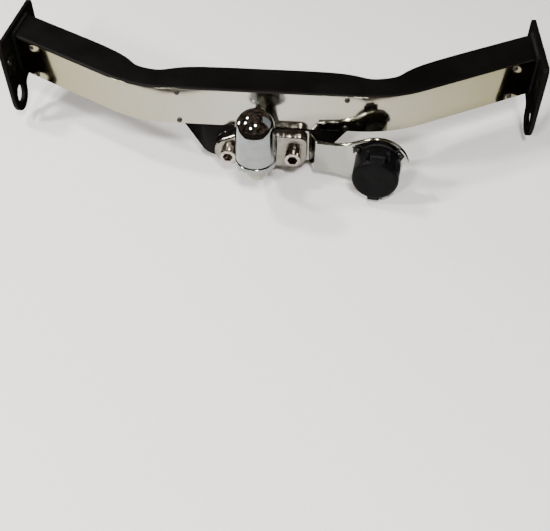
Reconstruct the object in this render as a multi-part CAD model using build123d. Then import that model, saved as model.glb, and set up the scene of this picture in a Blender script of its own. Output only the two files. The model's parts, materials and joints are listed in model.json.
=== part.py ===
from build123d import *
from math import cos, hypot, pi, radians, sin, sqrt, tan
import os

# Trailer hitch: a bent square cross tube on two end plates, with a trim strip, a bolted
# forged ball neck, a lift-off ball cap and a bracketed trailer socket with a sprung lid.
# Millimetres. X runs across the vehicle, +Y points to the vehicle and Z is up.
# The origin is the middle of the cross tube's front face.

# Cross tube
TUBE = 63.5
WALL = 3.2
TUBE_CORNER = 5.0
STRAIGHT_HALF = 143.8
BEND_RADIUS = 184.0
BEND_ANGLE = 30.0
DENT_DEPTH = 16.0
DENT_SPREAD = 52.8
DENT_REACH = 144.0
DENT_STEPS = 24

# End plates
PLATE_X = 415.0
PLATE_THICK = 6.35
PLATE_FRONT = 76.0
PLATE_BACK = 232.5
PLATE_TOP = 41.0
PLATE_BACK_LOW = -33.0
PLATE_SLOPE = 14.5
PLATE_CORNERS = (9.0, 8.0, 6.0)
TAB_RADIUS = 29.0
TAB_NECK_R = 12.0
TAB_Z = -62.0
PLATE_HOLES = ((105.0, TAB_Z, 15.0), (95.0, 2.5, 7.5), (219.5, 7.0, 5.5))
WELD_LEG = 5.0
WELD_TOE = 0.5

# Trim strip and its screws
STRIP_THICK = 1.4
STRIP_HEIGHT = 60.0
STRIP_END_GAP = 8.0
TRIM_SCREW_X = 125.3
TRIM_SCREW_FROM_PLATE = 43.6
TRIM_SCREW_Z = 24.4
TRIM_HEAD_R = 4.0
TRIM_HEAD_HIGH = 2.2
TRIM_HEAD_ROUND = 1.4
TRIM_SLOT = (4.4, 0.9)
TRIM_SHANK_R = 1.7
TRIM_SCREW_LONG = 12.0

# Neck mounting plate
SEAT_THICK = 8.0
SEAT_HALF = 88.0
SEAT_LOW = -90.0
SEAT_LOW_HALF = 70.0
WING_SIDE = (141.0, -60.0)
WING_KNEE = (123.0, -64.5)
WING_HIP = (92.0, -80.5)
WING_ROUNDS = (30.0, 30.0, 14.0)
WING_END = (131.0, 52.0)
WING_BEND_R = 12.0
SEAT_WELD_HALF = 82.0
FRONT_BEAD_DEPTH = (0.4, 6.0)
FRONT_BEAD_HIGH = 2.6

# Ball neck
BALL_R = 25.0
BALL_Y = -86.5
BALL_Z = 28.0
BALL_FLAT_Z = 52.3
NECK_R = 13.5
NECK_TOP_Z = -30.0
ELBOW_R = 16.5
ELBOW_BEND = 29.0
BAR_Z = -59.8
FLANGE_FRONT = -21.0
FLANGE_BACK = -2.5
FLANGE_LOW = -89.3
LOBE = (-47.5, -64.5)
LOBE_R = 24.8
FLANGE_RIGHT = 70.0
FLANGE_SHOULDER = (-57.3, -41.7)
FLANGE_TOP_LEFT = -30.0
FLANGE_ROUNDS = (8.0, 13.0, 24.0)
FLANGE_RIM = 4.5
BAR_ROOT_Y = -10.0
BAR_ROOT_HALF = 26.0
BAR_ROOT_Z = -62.9

# Neck bolts
BOLT_X = 49.0
BOLT_Z = -63.0
BOLT_R = 8.0
BOLT_HOLE_R = 8.5
BOLT_HEAD_R = 12.0
BOLT_HEAD_HIGH = 16.0
BOLT_HEAD_EDGE = 1.0
BOLT_LONG = 55.0
HEX_KEY = 14.0
KEY_DEEP = 8.0
WASHER_R = 15.0
WASHER_THICK = 3.0
LOCK_R = 13.7
LOCK_THICK = 4.0
LOCK_SPLIT = 2.0
LOCK_SPLIT_LEAN = 25.0
NUT_FLATS = 24.0
NUT_HIGH = 13.0

# Ball cap
CAP_R = 28.0
CAP_WALL = 1.9
CAP_RIM_R = 29.2
CAP_LOW = -29.4
CAP_DOME_Z = 29.0
CAP_GROOVE_Z = -18.5
CAP_GROOVE_DEEP = 0.6
CAP_GROOVE_STEPS = (0.4, 1.4, 2.4)

# Socket bracket, whose panel is turned a little so that its right end stands further forward
SHEET = 2.5
PANEL_BACK = -21.6
PANEL_FRONT = PANEL_BACK - SHEET
PANEL_TURN = 5.95
PANEL_LEFT = 80.7
PANEL_TOP = -34.6
PANEL_LOW = -88.0
PANEL_KNEE_X = 108.0
PANEL_FOOT_X = 100.0
PANEL_HIP = (136.0, -95.8)
PANEL_FOOT_ANGLE = 262.0
PANEL_CORNER = 5.0
WEB_FOOT = 73.5
WEB_LEFT = 62.0
WEB_BEND_R = 3.5
WEB_JOIN_X = 93.7
LIP_LEFT = 84.7
LIP_DEEP = 6.0
LIP_THICK = 2.2
LIP_BEND_R = 2.0
PAD_LEFT = -66.0
PAD_TOP = -33.0
PAD_SHOULDER = (-28.0, -39.0)
PAD_HIP = (52.0, -75.0)
PAD_INSET = 2.0
HOOD_R = 46.6
HOOD_FROM = 107.0
HOOD_TO = 16.0

# Socket
SOCKET_X = 177.5
SOCKET_Z = -62.4
GASKET = 1.5
HOUSING_BACK = PANEL_FRONT - GASKET
EAR_THICK = 3.0
BARREL_R = 34.5
MOUTH_Y = -56.4
EAR_CIRCLE_R = 38.9
EAR_R = 5.4
EAR_ANGLES = (142.0, 38.0, 270.0)
BORE_R = 25.0
SEAT_Y = -42.4
INSERT_R = 22.0
INSERT_THICK = 12.0
SPIGOT_R = 19.0
SPIGOT_WALL = 3.0
SPIGOT_HOLE_R = 19.5
SPIGOT_END = -17.6
PIN_CIRCLE_R = 13.5
BOOT_END = 8.0
BOOT_MOUTH_R = 5.0
BOOT_MOUTH_LONG = 7.0
BOOT_NECK = (9.0, 2.0)
BOOT_TIP_R = 8.0
BOOT_COLLAR = (4.0, 5.0)
BOOT_SHOULDER = (1.0, 8.0)
BOOT_GRIP = 0.1
PIN_R = 2.5
PIN_WALL = 0.8
PIN_SUNK = 0.5
PIN_SLOT_DEEP = 6.0
PIN_TAIL = 5.0
INSERT_GAP = 0.05
HINGE_Y = -50.4
HINGE_Z = -22.4
HINGE_PIN_R = 2.0
HINGE_RUN = 0.06
KNUCKLE_R = 5.5
FLAP_HALF = 11.0
FLAP_EAR = 5.2
LUG_GAP = 0.4
LUG_WIDE = 5.6
LUG_SUNK = 6.0
LID_FRONT = -66.4
LID_GAP = 0.8
LID_EDGE_R = 6.0
LID_FLAP_SUNK = 12.0
LID_WALL = 3.0
LID_HOLLOW_R = 26.5
LID_BRIDGE_RISE = 1.2
LID_LIP = (18.0, 5.0)
LID_LIP_SET_BACK = 3.0
LID_LIP_ROUND = 1.5
SEAL_RADII = (30.5, 26.8)
SEAL_FRONT = -56.7
SPRING_WIRE = 1.0
SPRING_MEAN_R = 3.3
SPRING_PITCH = 1.5
SPRING_TURNS = 5
SPRING_CLEAR = 0.4
M5_R = 2.5
M5_HOLE_R = 2.75
M5_HEAD_R = 4.1
M5_HEAD_HIGH = 2.8
M5_NUT_FLATS = 8.0
M5_NUT_HIGH = 4.0
M5_LONG = 16.0
M5_HEAD_ROUND = 1.2
M5_SLOT = (4.4, 0.9, 1.5)
M5_WASHER_R = 5.0
M5_WASHER_THICK = 1.0

# Clearances and the overshoot of a cut past a face
FIT = 0.02
NUT_FIT = 0.03
PIN_FIT = 0.03
WASHER_FIT = 0.2
FLAT_FIT = 0.5
SCREW_FIT = 0.1
OVER = 1.0

CENTRE = Plane.YZ
BEND_RUN = BEND_RADIUS * radians(BEND_ANGLE)
BEND_END = STRAIGHT_HALF + BEND_RUN
HALF = TUBE / 2


def plan_point(run, depth=0.0):
    """Plan point at a run along the tube's front face from the middle, and a depth behind it."""
    side = -1 if run < 0 else 1
    turned = min(max(abs(run) - STRAIGHT_HALF, 0), BEND_RUN) / BEND_RADIUS
    past = max(abs(run) - BEND_END, 0)
    radius = BEND_RADIUS - depth
    x = min(abs(run), STRAIGHT_HALF) + radius * sin(turned) + past * cos(turned)
    y = BEND_RADIUS - radius * cos(turned) + past * sin(turned)
    return side * x, y


def arm_end(depth):
    """Plan point where a line of the arm meets the end plate."""
    x, y = plan_point(BEND_END, depth)
    return PLATE_X, y + (PLATE_X - x) * tan(radians(BEND_ANGLE))


def dent(run):
    """How far the bend's inner wall is squashed in, at a run along the front face."""
    def shape(away):
        return 1 / (1 + (away / DENT_SPREAD) ** 4)

    away = abs(abs(run) - STRAIGHT_HALF - BEND_RUN / 2)
    return DENT_DEPTH * max(shape(away) - shape(DENT_REACH), 0)


def flipped(point):
    return -point[0], point[1]


def corner_of(face, point):
    """The corner of a face that lies nearest to a point."""
    return face.vertices().sort_by(lambda v: hypot(v.X - point[0], v.Y - point[1]))[0]


def front_edges(depth, end_gap=0.0):
    """Plan edges of a line at a depth from the front face, from one end plate to the other."""
    end_x, end_y = arm_end(depth)
    end = (end_x - end_gap * cos(radians(BEND_ANGLE)), end_y - end_gap * sin(radians(BEND_ANGLE)))
    runs = (STRAIGHT_HALF, STRAIGHT_HALF + BEND_RUN / 2, BEND_END)
    start, middle, stop = [plan_point(run, depth) for run in runs]
    right = [ThreePointArc(start, middle, stop), Line(stop, end)]
    across = [flipped(point) for point in (start, middle, stop)]
    left = [ThreePointArc(*across), Line(across[-1], flipped(end))]
    return [Line(across[0], start)] + right + left, end


def rear_edges(skin):
    """Plan edges of the squashed rear wall, drawn in by a skin thickness."""
    middle = STRAIGHT_HALF + BEND_RUN / 2
    runs = [middle - DENT_REACH + 2 * DENT_REACH * i / DENT_STEPS for i in range(DENT_STEPS + 1)]
    points = [plan_point(run, TUBE - skin - dent(run)) for run in runs]
    slope = (cos(radians(BEND_ANGLE)), sin(radians(BEND_ANGLE)))
    end = arm_end(TUBE - skin)
    right = [Spline(points, tangents=[(1, 0), slope]), Line(points[-1], end)]
    across = [flipped(point) for point in points]
    left = [Spline(across, tangents=[(-1, 0), flipped(slope)]), Line(across[-1], flipped(end))]
    return [Line(across[0], points[0])] + right + left, end


def tube_solid(skin, corner):
    """The bent tube's envelope, drawn in by a skin thickness, with its long edges rounded."""
    front, front_end = front_edges(skin)
    rear, rear_end = rear_edges(skin)
    ends = [Line(front_end, rear_end), Line(flipped(front_end), flipped(rear_end))]
    solid = extrude(make_face(front + rear + ends), amount=HALF - skin, both=True)
    long_edges = solid.edges().filter_by(
        lambda e: abs(e.center().Z) > HALF - skin - 0.01 and abs(e.center().X) < PLATE_X - 0.01)
    return fillet(long_edges, corner)


def rod(start, end, radius):
    """A round rod from one point to another."""
    path = Vector(*end) - Vector(*start)
    return Plane(origin=start, z_dir=path) * Cylinder(
        radius, path.length, align=(Align.CENTER, Align.CENTER, Align.MIN))


def along_y(x, z, y_from, y_to, radius):
    return rod((x, y_from, z), (x, y_to, z), radius)


def front_sheet(sketch, y_from, y_to):
    """An outline drawn in X and Z as seen from the front, made solid between two depths."""
    return extrude(Plane((0, y_to, 0), x_dir=(1, 0, 0), z_dir=(0, -1, 0)) * sketch, amount=y_to - y_from)


def spots():
    """Screw points of the trim strip: run along the face and height."""
    arm_run = BEND_END + (PLATE_X - plan_point(BEND_END)[0]) / cos(radians(BEND_ANGLE))
    runs = (TRIM_SCREW_X, arm_run - TRIM_SCREW_FROM_PLATE)
    return [(side * run, up * TRIM_SCREW_Z) for run in runs for side in (-1, 1) for up in (-1, 1)]


def square_to_face(run, z, near, far, radius):
    """A rod square to the front face, from one depth to another."""
    start, end = plan_point(run, near), plan_point(run, far)
    return rod((*start, z), (*end, z), radius)


def cross_tube():
    tube = tube_solid(0.0, TUBE_CORNER) - tube_solid(WALL, TUBE_CORNER - WALL)
    for run, z in spots():
        tube -= square_to_face(run, z, -OVER, WALL + OVER, TRIM_SHANK_R + FIT)
    return tube


def trim_strip():
    outer, outer_end = front_edges(-STRIP_THICK, STRIP_END_GAP)
    inner, inner_end = front_edges(0.0, STRIP_END_GAP)
    ends = [Line(outer_end, inner_end), Line(flipped(outer_end), flipped(inner_end))]
    strip = extrude(make_face(outer + inner + ends), amount=STRIP_HEIGHT / 2, both=True)
    for run, z in spots():
        strip -= square_to_face(run, z, -STRIP_THICK - OVER, OVER, TRIM_SHANK_R + SCREW_FIT)
    return strip


def trim_screw(run, z):
    """Pan-head screw with a cross recess, seated on the strip."""
    head_at = plan_point(run, -STRIP_THICK)
    outward = Vector(*plan_point(run, -STRIP_THICK - OVER), z) - Vector(*head_at, z)
    seat = Plane(origin=(*head_at, z), z_dir=outward, x_dir=(0, 0, 1))
    head = Cylinder(TRIM_HEAD_R, TRIM_HEAD_HIGH, align=(Align.CENTER, Align.CENTER, Align.MIN))
    head = fillet(head.edges().sort_by(Axis.Z)[-1], TRIM_HEAD_ROUND)
    for turn in (0, 90):
        head -= Pos(0, 0, TRIM_HEAD_HIGH) * Rot(0, 0, turn) * Box(*TRIM_SLOT, TRIM_HEAD_HIGH)
    shank = square_to_face(run, z, -STRIP_THICK, TRIM_SCREW_LONG - STRIP_THICK, TRIM_SHANK_R)
    return seat * head + shank


def end_plate():
    """Right-hand end plate with its tow tab and three holes, seen along X."""
    drop = (PLATE_BACK - PLATE_HOLES[0][0]) * tan(radians(PLATE_SLOPE))
    tab = (PLATE_HOLES[0][0], TAB_Z)
    corners = [(PLATE_FRONT, PLATE_TOP), (PLATE_BACK, PLATE_TOP), (PLATE_BACK, PLATE_BACK_LOW),
               (tab[0], PLATE_BACK_LOW - drop), (PLATE_FRONT, TAB_Z)]
    panel = make_face(Polyline(*corners, close=True))
    for corner, radius in zip(corners, PLATE_CORNERS):
        panel = fillet(corner_of(panel, corner), radius)
    outline = panel + Pos(*tab) * Circle(TAB_RADIUS)
    outline = fillet(corner_of(outline, (tab[0] + TAB_RADIUS, TAB_Z)), TAB_NECK_R)
    for y, z, radius in PLATE_HOLES:
        outline -= Pos(y, z) * Circle(radius)
    return extrude(CENTRE.offset(PLATE_X) * outline, amount=PLATE_THICK)


def plate_weld(tube_block):
    """Fillet weld all round the tube where it meets the right-hand end plate."""
    near, far = arm_end(0.0)[1], arm_end(TUBE)[1]
    lean = WELD_LEG * tan(radians(BEND_ANGLE))
    wide = far - near
    foot = CENTRE.offset(PLATE_X) * Pos((near + far) / 2, 0) * RectangleRounded(
        wide + 2 * WELD_LEG, TUBE + 2 * WELD_LEG, TUBE_CORNER + WELD_LEG)
    top = CENTRE.offset(PLATE_X - WELD_LEG) * Pos((near + far) / 2 - lean, 0) * RectangleRounded(
        wide + 2 * WELD_TOE, TUBE + 2 * WELD_TOE, TUBE_CORNER + WELD_TOE)
    return loft([foot.face(), top.face()]) - tube_block


def mounting_plate():
    """Bent plate under the tube: a flat seat for the neck and two wings swept back."""
    line = FilletPolyline(
        flipped(WING_END), (-SEAT_HALF, SEAT_THICK / 2), (SEAT_HALF, SEAT_THICK / 2), WING_END,
        radius=WING_BEND_R)
    band = extrude(trace(line, SEAT_THICK), amount=HALF + SEAT_LOW, dir=(0, 0, 1))
    band = Pos(0, 0, -HALF) * band
    turns = [WING_KNEE, WING_HIP, (SEAT_LOW_HALF, SEAT_LOW)]
    half = make_face(Polyline((0, 0), (WING_SIDE[0], 0), WING_SIDE, *turns, (0, SEAT_LOW), close=True))
    for corner, radius in zip(turns, WING_ROUNDS):
        half = fillet(corner_of(half, corner), radius)
    outline = half + mirror(half, about=Plane.YZ)
    plate = band & front_sheet(outline, -OVER, WING_END[1] + SEAT_THICK)
    for x in (-BOLT_X, BOLT_X):
        plate -= along_y(x, BOLT_Z, -OVER, SEAT_THICK + OVER, BOLT_HOLE_R)
    return plate


def seat_welds(tube_block, plate):
    """Weld beads that hold the mounting plate's seat to the underside of the tube."""
    rear = Polyline((SEAT_THICK, -HALF), (SEAT_THICK + WELD_LEG, -HALF), (SEAT_THICK, -HALF - WELD_LEG),
                    close=True)
    near, far = FRONT_BEAD_DEPTH
    top = -HALF + FRONT_BEAD_HIGH
    front = Polyline((near, top), (far, top), (far, -HALF), (near, -HALF), close=True)
    beads = [extrude(CENTRE * make_face(bead), amount=SEAT_WELD_HALF, both=True) for bead in (rear, front)]
    return Compound([solid for bead in beads for solid in (bead - tube_block - plate).solids()])


def flange():
    """Two-lobed bolt flange of the neck: round on the left and squarer on the right."""
    lobe = Pos(*LOBE) * Circle(LOBE_R)
    corners = [(FLANGE_TOP_LEFT, NECK_TOP_Z), (FLANGE_RIGHT, NECK_TOP_Z), (FLANGE_RIGHT, FLANGE_LOW)]
    block = make_face(Polyline(FLANGE_SHOULDER, *corners, (LOBE[0], FLANGE_LOW), close=True))
    for corner, radius in zip(corners, FLANGE_ROUNDS):
        block = fillet(corner_of(block, corner), radius)
    body = front_sheet(block + lobe, FLANGE_FRONT, FLANGE_BACK)
    rim = body.edges().filter_by(lambda e: e.center().Y < FLANGE_FRONT + FIT)
    return fillet(rim, FLANGE_RIM)


def bar_section(y, half, centre_z):
    """Section of the neck's bar: flat top and sides over a half-round underside."""
    top, low = (half, NECK_TOP_Z), (half, centre_z)
    edges = [Line(flipped(top), top), Line(top, low), Line(flipped(top), flipped(low)),
             ThreePointArc(low, (0, centre_z - half), flipped(low))]
    return Plane((0, y, 0), x_dir=(1, 0, 0), z_dir=(0, -1, 0)) * make_face(edges)


def ball_neck():
    """Forged neck: flange, tapering bar, elbow, upright and coupling ball."""
    elbow_y = BALL_Y + ELBOW_BEND
    elbow_z = BAR_Z + ELBOW_BEND
    bar = loft([bar_section(BAR_ROOT_Y, BAR_ROOT_HALF, BAR_ROOT_Z).face(),
                bar_section(elbow_y, ELBOW_R, BAR_Z).face()])
    ring = Plane((0, elbow_y, BAR_Z), x_dir=(1, 0, 0), z_dir=(0, -1, 0)) * Circle(ELBOW_R)
    elbow = revolve(ring, Axis((0, elbow_y, elbow_z), (-1, 0, 0)), 90)
    out = ELBOW_BEND * sqrt(0.5)
    turn = ThreePointArc((elbow_y, BAR_Z), (elbow_y - out, elbow_z - out), (BALL_Y, elbow_z))
    back = Polyline((BALL_Y, elbow_z), (BALL_Y, NECK_TOP_Z), (elbow_y, NECK_TOP_Z), (elbow_y, BAR_Z))
    web = extrude(CENTRE * make_face([turn, back]), amount=ELBOW_R, both=True)
    upright = rod((0, BALL_Y, elbow_z), (0, BALL_Y, NECK_TOP_Z), ELBOW_R)
    stem = rod((0, BALL_Y, NECK_TOP_Z - OVER), (0, BALL_Y, BALL_Z), NECK_R)
    ball = Pos(0, BALL_Y, BALL_Z) * Sphere(BALL_R)
    ball -= Pos(0, BALL_Y, BALL_FLAT_Z + BALL_R) * Box(3 * BALL_R, 3 * BALL_R, 2 * BALL_R)
    lower = bar + elbow + web + upright
    neck = flange() + lower + stem + ball
    for x in (-BOLT_X, BOLT_X):
        neck -= along_y(x, BOLT_Z, FLANGE_FRONT - OVER, FLANGE_BACK + OVER, BOLT_HOLE_R)
    return neck


def neck_bolt(x):
    """Socket head cap screw with a hexagon recess, head towards the ball."""
    tip = FLANGE_FRONT - BOLT_HEAD_HIGH
    head = along_y(x, BOLT_Z, tip, FLANGE_FRONT, BOLT_HEAD_R)
    head = chamfer(head.edges().sort_by(Axis.Y)[0], BOLT_HEAD_EDGE)
    key = Pos(x, BOLT_Z) * RegularPolygon(HEX_KEY / 2, 6, major_radius=False)
    recess = front_sheet(key, tip, tip + KEY_DEEP)
    return head + along_y(x, BOLT_Z, FLANGE_FRONT, FLANGE_FRONT + BOLT_LONG, BOLT_R) - recess


def flat_washer(x, z, y_from, y_to, outer, inner):
    return along_y(x, z, y_from, y_to, outer) - along_y(x, z, y_from - OVER, y_to + OVER, inner)


def lock_washer(x):
    """Split spring washer, pressed flat between the flat washer and the nut."""
    near = SEAT_THICK + WASHER_THICK
    ring = flat_washer(x, BOLT_Z, near, near + LOCK_THICK, LOCK_R, BOLT_R + WASHER_FIT)
    slot = Rot(0, 0, LOCK_SPLIT_LEAN) * Box(LOCK_SPLIT, 3 * LOCK_THICK, LOCK_R)
    return ring - Pos(x, near + LOCK_THICK / 2, BOLT_Z + LOCK_R) * slot


def hex_nut(x, z, y_from, high, flats, bore):
    sketch = Pos(x, z) * (RegularPolygon(flats / 2, 6, major_radius=False) - Circle(bore))
    return front_sheet(sketch, y_from, y_from + high)


def ball_cap():
    """Thin drawn cap: dome, straight skirt, a fine groove and a flared rim."""
    crown, slant = CAP_DOME_Z + CAP_R, CAP_R * sqrt(0.5)
    dome = ThreePointArc((0, crown), (slant, CAP_DOME_Z + slant), (CAP_R, CAP_DOME_Z))
    waist = CAP_R - CAP_GROOVE_DEEP
    top, low, rim = [CAP_GROOVE_Z - step for step in CAP_GROOVE_STEPS]
    wall = Polyline((CAP_R, CAP_DOME_Z), (CAP_R, CAP_GROOVE_Z), (waist, top), (waist, low), (CAP_RIM_R, rim),
                    (CAP_RIM_R, CAP_LOW), (0, CAP_LOW), (0, crown))
    outside = Pos(0, BALL_Y, 0) * revolve(Plane.XZ * make_face([dome, wall]), Axis.Z, 360)
    hollow_r = CAP_R - CAP_WALL
    hollow = Pos(0, BALL_Y, CAP_DOME_Z) * Sphere(hollow_r)
    hollow += rod((0, BALL_Y, CAP_LOW - OVER), (0, BALL_Y, CAP_DOME_Z), hollow_r)
    return outside - hollow


def turned(shape):
    """A shape of the socket's side, made square to the tube and then turned with the panel."""
    pivot = Pos(PANEL_LEFT, PANEL_BACK, 0)
    return pivot * Rot(0, 0, -PANEL_TURN) * pivot.inverse() * shape


def turned_point(x, y):
    """Plan point of the turned panel, by its place in the square frame."""
    turn = radians(PANEL_TURN)
    along, out = x - PANEL_LEFT, y - PANEL_BACK
    return (PANEL_LEFT + along * cos(turn) + out * sin(turn),
            PANEL_BACK - along * sin(turn) + out * cos(turn))


def polar(radius, degrees_round):
    """A point of the socket's face, by radius and angle about the socket's axis."""
    angle = radians(degrees_round)
    return SOCKET_X + radius * cos(angle), SOCKET_Z + radius * sin(angle)


def hood_line(inset):
    """The bracket's top edge: level, sweeping up, then an arc over the socket."""
    radius = HOOD_R - inset
    start, knee = (PANEL_LEFT, PANEL_TOP - inset), (PANEL_KNEE_X, PANEL_TOP - inset)
    arc = [polar(radius, angle) for angle in (HOOD_FROM, (HOOD_FROM + HOOD_TO) / 2, HOOD_TO)]
    slope = (sin(radians(HOOD_FROM)), -cos(radians(HOOD_FROM)))
    return [Line(start, knee), Spline([knee, arc[0]], tangents=[(1, 0), slope]), ThreePointArc(*arc)]


def panel_outline():
    """Front outline of the bracket's panel, from its left edge to round the socket."""
    start, corner = (PANEL_LEFT, PANEL_TOP), (PANEL_LEFT, PANEL_LOW)
    low = [(PANEL_FOOT_X, PANEL_LOW), PANEL_HIP, polar(EAR_CIRCLE_R + EAR_R, PANEL_FOOT_ANGLE)]
    edges = hood_line(0.0) + [
        Polyline(start, corner, low[0]),
        Spline(low, tangents=[(1, 0), (0.9, -0.44)]),
        Polyline(low[2], (SOCKET_X, SOCKET_Z), polar(HOOD_R, HOOD_TO))]
    outline = make_face(edges)
    outline = fillet(corner_of(outline, corner), PANEL_CORNER)
    outline += Pos(SOCKET_X, SOCKET_Z) * Circle(BARREL_R + PAD_INSET)
    for angle in EAR_ANGLES:
        outline += Pos(*polar(EAR_CIRCLE_R, angle)) * Circle(EAR_R)
    outline -= Pos(SOCKET_X, SOCKET_Z) * Circle(SPIGOT_HOLE_R)
    for angle in EAR_ANGLES:
        outline -= Pos(*polar(EAR_CIRCLE_R, angle)) * Circle(M5_HOLE_R)
    return outline


def socket_bracket():
    """Bent sheet: a pad clamped behind the flange, a web forward, a panel and its hooded lip."""
    mid = SHEET / 2
    line = FilletPolyline(
        (PAD_LEFT, -mid), (WEB_FOOT, -mid), turned_point(PANEL_LEFT + SHEET, PANEL_BACK - mid),
        turned_point(WEB_JOIN_X, PANEL_BACK - mid), radius=WEB_BEND_R)
    band = Pos(0, 0, FLANGE_LOW) * extrude(trace(line, SHEET), amount=-FLANGE_LOW, dir=(0, 0, 1))
    foot = FLANGE_LOW + PAD_INSET
    pad = make_face(Polyline(
        (-BOLT_X, PAD_SHOULDER[1]), (PAD_SHOULDER[0], PAD_TOP), (FLANGE_RIGHT, PAD_TOP),
        (FLANGE_RIGHT, PAD_HIP[1]), (PAD_HIP[0], foot), (-BOLT_X, foot), close=True))
    pad += Pos(-BOLT_X, BOLT_Z) * Circle(LOBE_R - PAD_INSET)
    web_low = PANEL_LOW + OVER
    web = make_face(Polyline((WEB_LEFT, PANEL_TOP), (WEB_JOIN_X, PANEL_TOP), (WEB_JOIN_X, web_low),
                             (WEB_LEFT, web_low), close=True))
    arm = band & front_sheet(pad + web, turned_point(WEB_JOIN_X, PANEL_FRONT)[1] - OVER, OVER)
    for x in (-BOLT_X, BOLT_X):
        arm -= along_y(x, BOLT_Z, -SHEET - OVER, OVER, BOLT_HOLE_R)
    panel = front_sheet(panel_outline(), PANEL_FRONT, PANEL_BACK) - left_of(WEB_JOIN_X - OVER)
    return arm + turned(rounded_bend(panel + hood_lip()))


def left_of(x):
    """Everything left of a plane, to trim the bracket with."""
    size = 4 * TUBE
    return Pos(x - size / 2, 0, 0) * Box(size, size, size)


def rounded_bend(sheet):
    """The bracket's sheet with the outside of its lip's bend rounded."""
    line = hood_line(0.0)

    def on_bend(edge):
        x, y, z = edge @ 0.5
        return abs(y - PANEL_BACK) < FIT and min(curve.distance_to((x, z, 0)) for curve in line) < FIT

    return fillet(sheet.edges().filter_by(on_bend), LIP_BEND_R)


def hood_lip():
    """The bent-over lip along the panel's top edge."""
    ends = [Line((PANEL_LEFT, PANEL_TOP), (PANEL_LEFT, PANEL_TOP - LIP_THICK)),
            Line(polar(HOOD_R, HOOD_TO), polar(HOOD_R - LIP_THICK, HOOD_TO))]
    outline = make_face(hood_line(0.0) + hood_line(LIP_THICK) + ends)
    lip = front_sheet(outline, PANEL_FRONT - LIP_DEEP, PANEL_BACK)
    return lip - left_of(LIP_LEFT)


def ear_outline(radius):
    """Round socket base with three screw ears."""
    outline = Pos(SOCKET_X, SOCKET_Z) * Circle(radius)
    for angle in EAR_ANGLES:
        outline += Pos(*polar(EAR_CIRCLE_R, angle)) * Circle(EAR_R)
        outline += Pos(SOCKET_X, SOCKET_Z) * Rot(0, 0, angle) * Pos(EAR_CIRCLE_R / 2, 0) * Rectangle(
            EAR_CIRCLE_R, 2 * EAR_R)
    return outline


def hinge_rod(x_from, x_to, radius):
    return rod((x_from, HINGE_Y, HINGE_Z), (x_to, HINGE_Y, HINGE_Z), radius)


def socket_housing():
    """Plastic socket body: eared base, barrel, hinge lugs, rear spigot and stepped bore."""
    body = front_sheet(ear_outline(BARREL_R), HOUSING_BACK - EAR_THICK, HOUSING_BACK)
    body += along_y(SOCKET_X, SOCKET_Z, MOUTH_Y, HOUSING_BACK, BARREL_R)
    body += along_y(SOCKET_X, SOCKET_Z, HOUSING_BACK, SPIGOT_END, SPIGOT_R)
    for side in (-1, 1):
        inner = FLAP_HALF + LUG_GAP
        x_mid = SOCKET_X + side * (inner + LUG_WIDE / 2)
        body += hinge_rod(x_mid - LUG_WIDE / 2, x_mid + LUG_WIDE / 2, KNUCKLE_R)
        foot_z = SOCKET_Z + BARREL_R - LUG_SUNK
        body += Pos(x_mid, (MOUTH_Y + HINGE_Y + KNUCKLE_R) / 2, (HINGE_Z + foot_z) / 2) * Box(
            LUG_WIDE, HINGE_Y + KNUCKLE_R - MOUTH_Y, HINGE_Z - foot_z)
    body -= hinge_rod(SOCKET_X - BARREL_R, SOCKET_X + BARREL_R, HINGE_PIN_R)
    body -= along_y(SOCKET_X, SOCKET_Z, MOUTH_Y - OVER, SEAT_Y, BORE_R)
    body -= along_y(SOCKET_X, SOCKET_Z, SEAT_Y - OVER, SEAT_Y + INSERT_THICK, INSERT_R + SCREW_FIT)
    body -= along_y(SOCKET_X, SOCKET_Z, SEAT_Y, SPIGOT_END + OVER, SPIGOT_R - SPIGOT_WALL)
    for angle in EAR_ANGLES:
        x, z = polar(EAR_CIRCLE_R, angle)
        body -= along_y(x, z, HOUSING_BACK - EAR_THICK - OVER, HOUSING_BACK + OVER, M5_HOLE_R)
    return body


def contact_places():
    """Six contacts round the insert and one in its middle."""
    return [polar(PIN_CIRCLE_R, 30 + 60 * i) for i in range(6)] + [(SOCKET_X, SOCKET_Z)]


def contact_insert():
    near, far = SEAT_Y + INSERT_GAP, SEAT_Y + INSERT_THICK - INSERT_GAP
    insert = along_y(SOCKET_X, SOCKET_Z, near, far, INSERT_R)
    for x, z in contact_places():
        insert -= along_y(x, z, near - OVER, far + OVER, PIN_R + PIN_FIT)
    return insert


def contact_pin(x, z):
    """Brass contact: a slotted tube in front and a solid crimp tail behind."""
    tip = SEAT_Y + PIN_SUNK
    pin = along_y(x, z, tip, SEAT_Y + INSERT_THICK + PIN_TAIL, PIN_R)
    return pin - along_y(x, z, tip - OVER, SEAT_Y + PIN_SLOT_DEEP, PIN_R - PIN_WALL)


def socket_gasket():
    sheet = ear_outline(BARREL_R) - Pos(SOCKET_X, SOCKET_Z) * Circle(SPIGOT_HOLE_R)
    for angle in EAR_ANGLES:
        sheet -= Pos(*polar(EAR_CIRCLE_R, angle)) * Circle(M5_HOLE_R)
    return front_sheet(sheet, HOUSING_BACK, PANEL_FRONT)


def socket_screw(x, z):
    seat = HOUSING_BACK - EAR_THICK
    head = along_y(x, z, seat - M5_HEAD_HIGH, seat, M5_HEAD_R)
    head = fillet(head.edges().sort_by(Axis.Y)[0], M5_HEAD_ROUND)
    long, wide, deep = M5_SLOT
    for across, high in ((long, wide), (wide, long)):
        head -= Pos(x, seat - M5_HEAD_HIGH, z) * Box(across, 2 * deep, high)
    return head + along_y(x, z, seat, seat + M5_LONG, M5_R)


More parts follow.
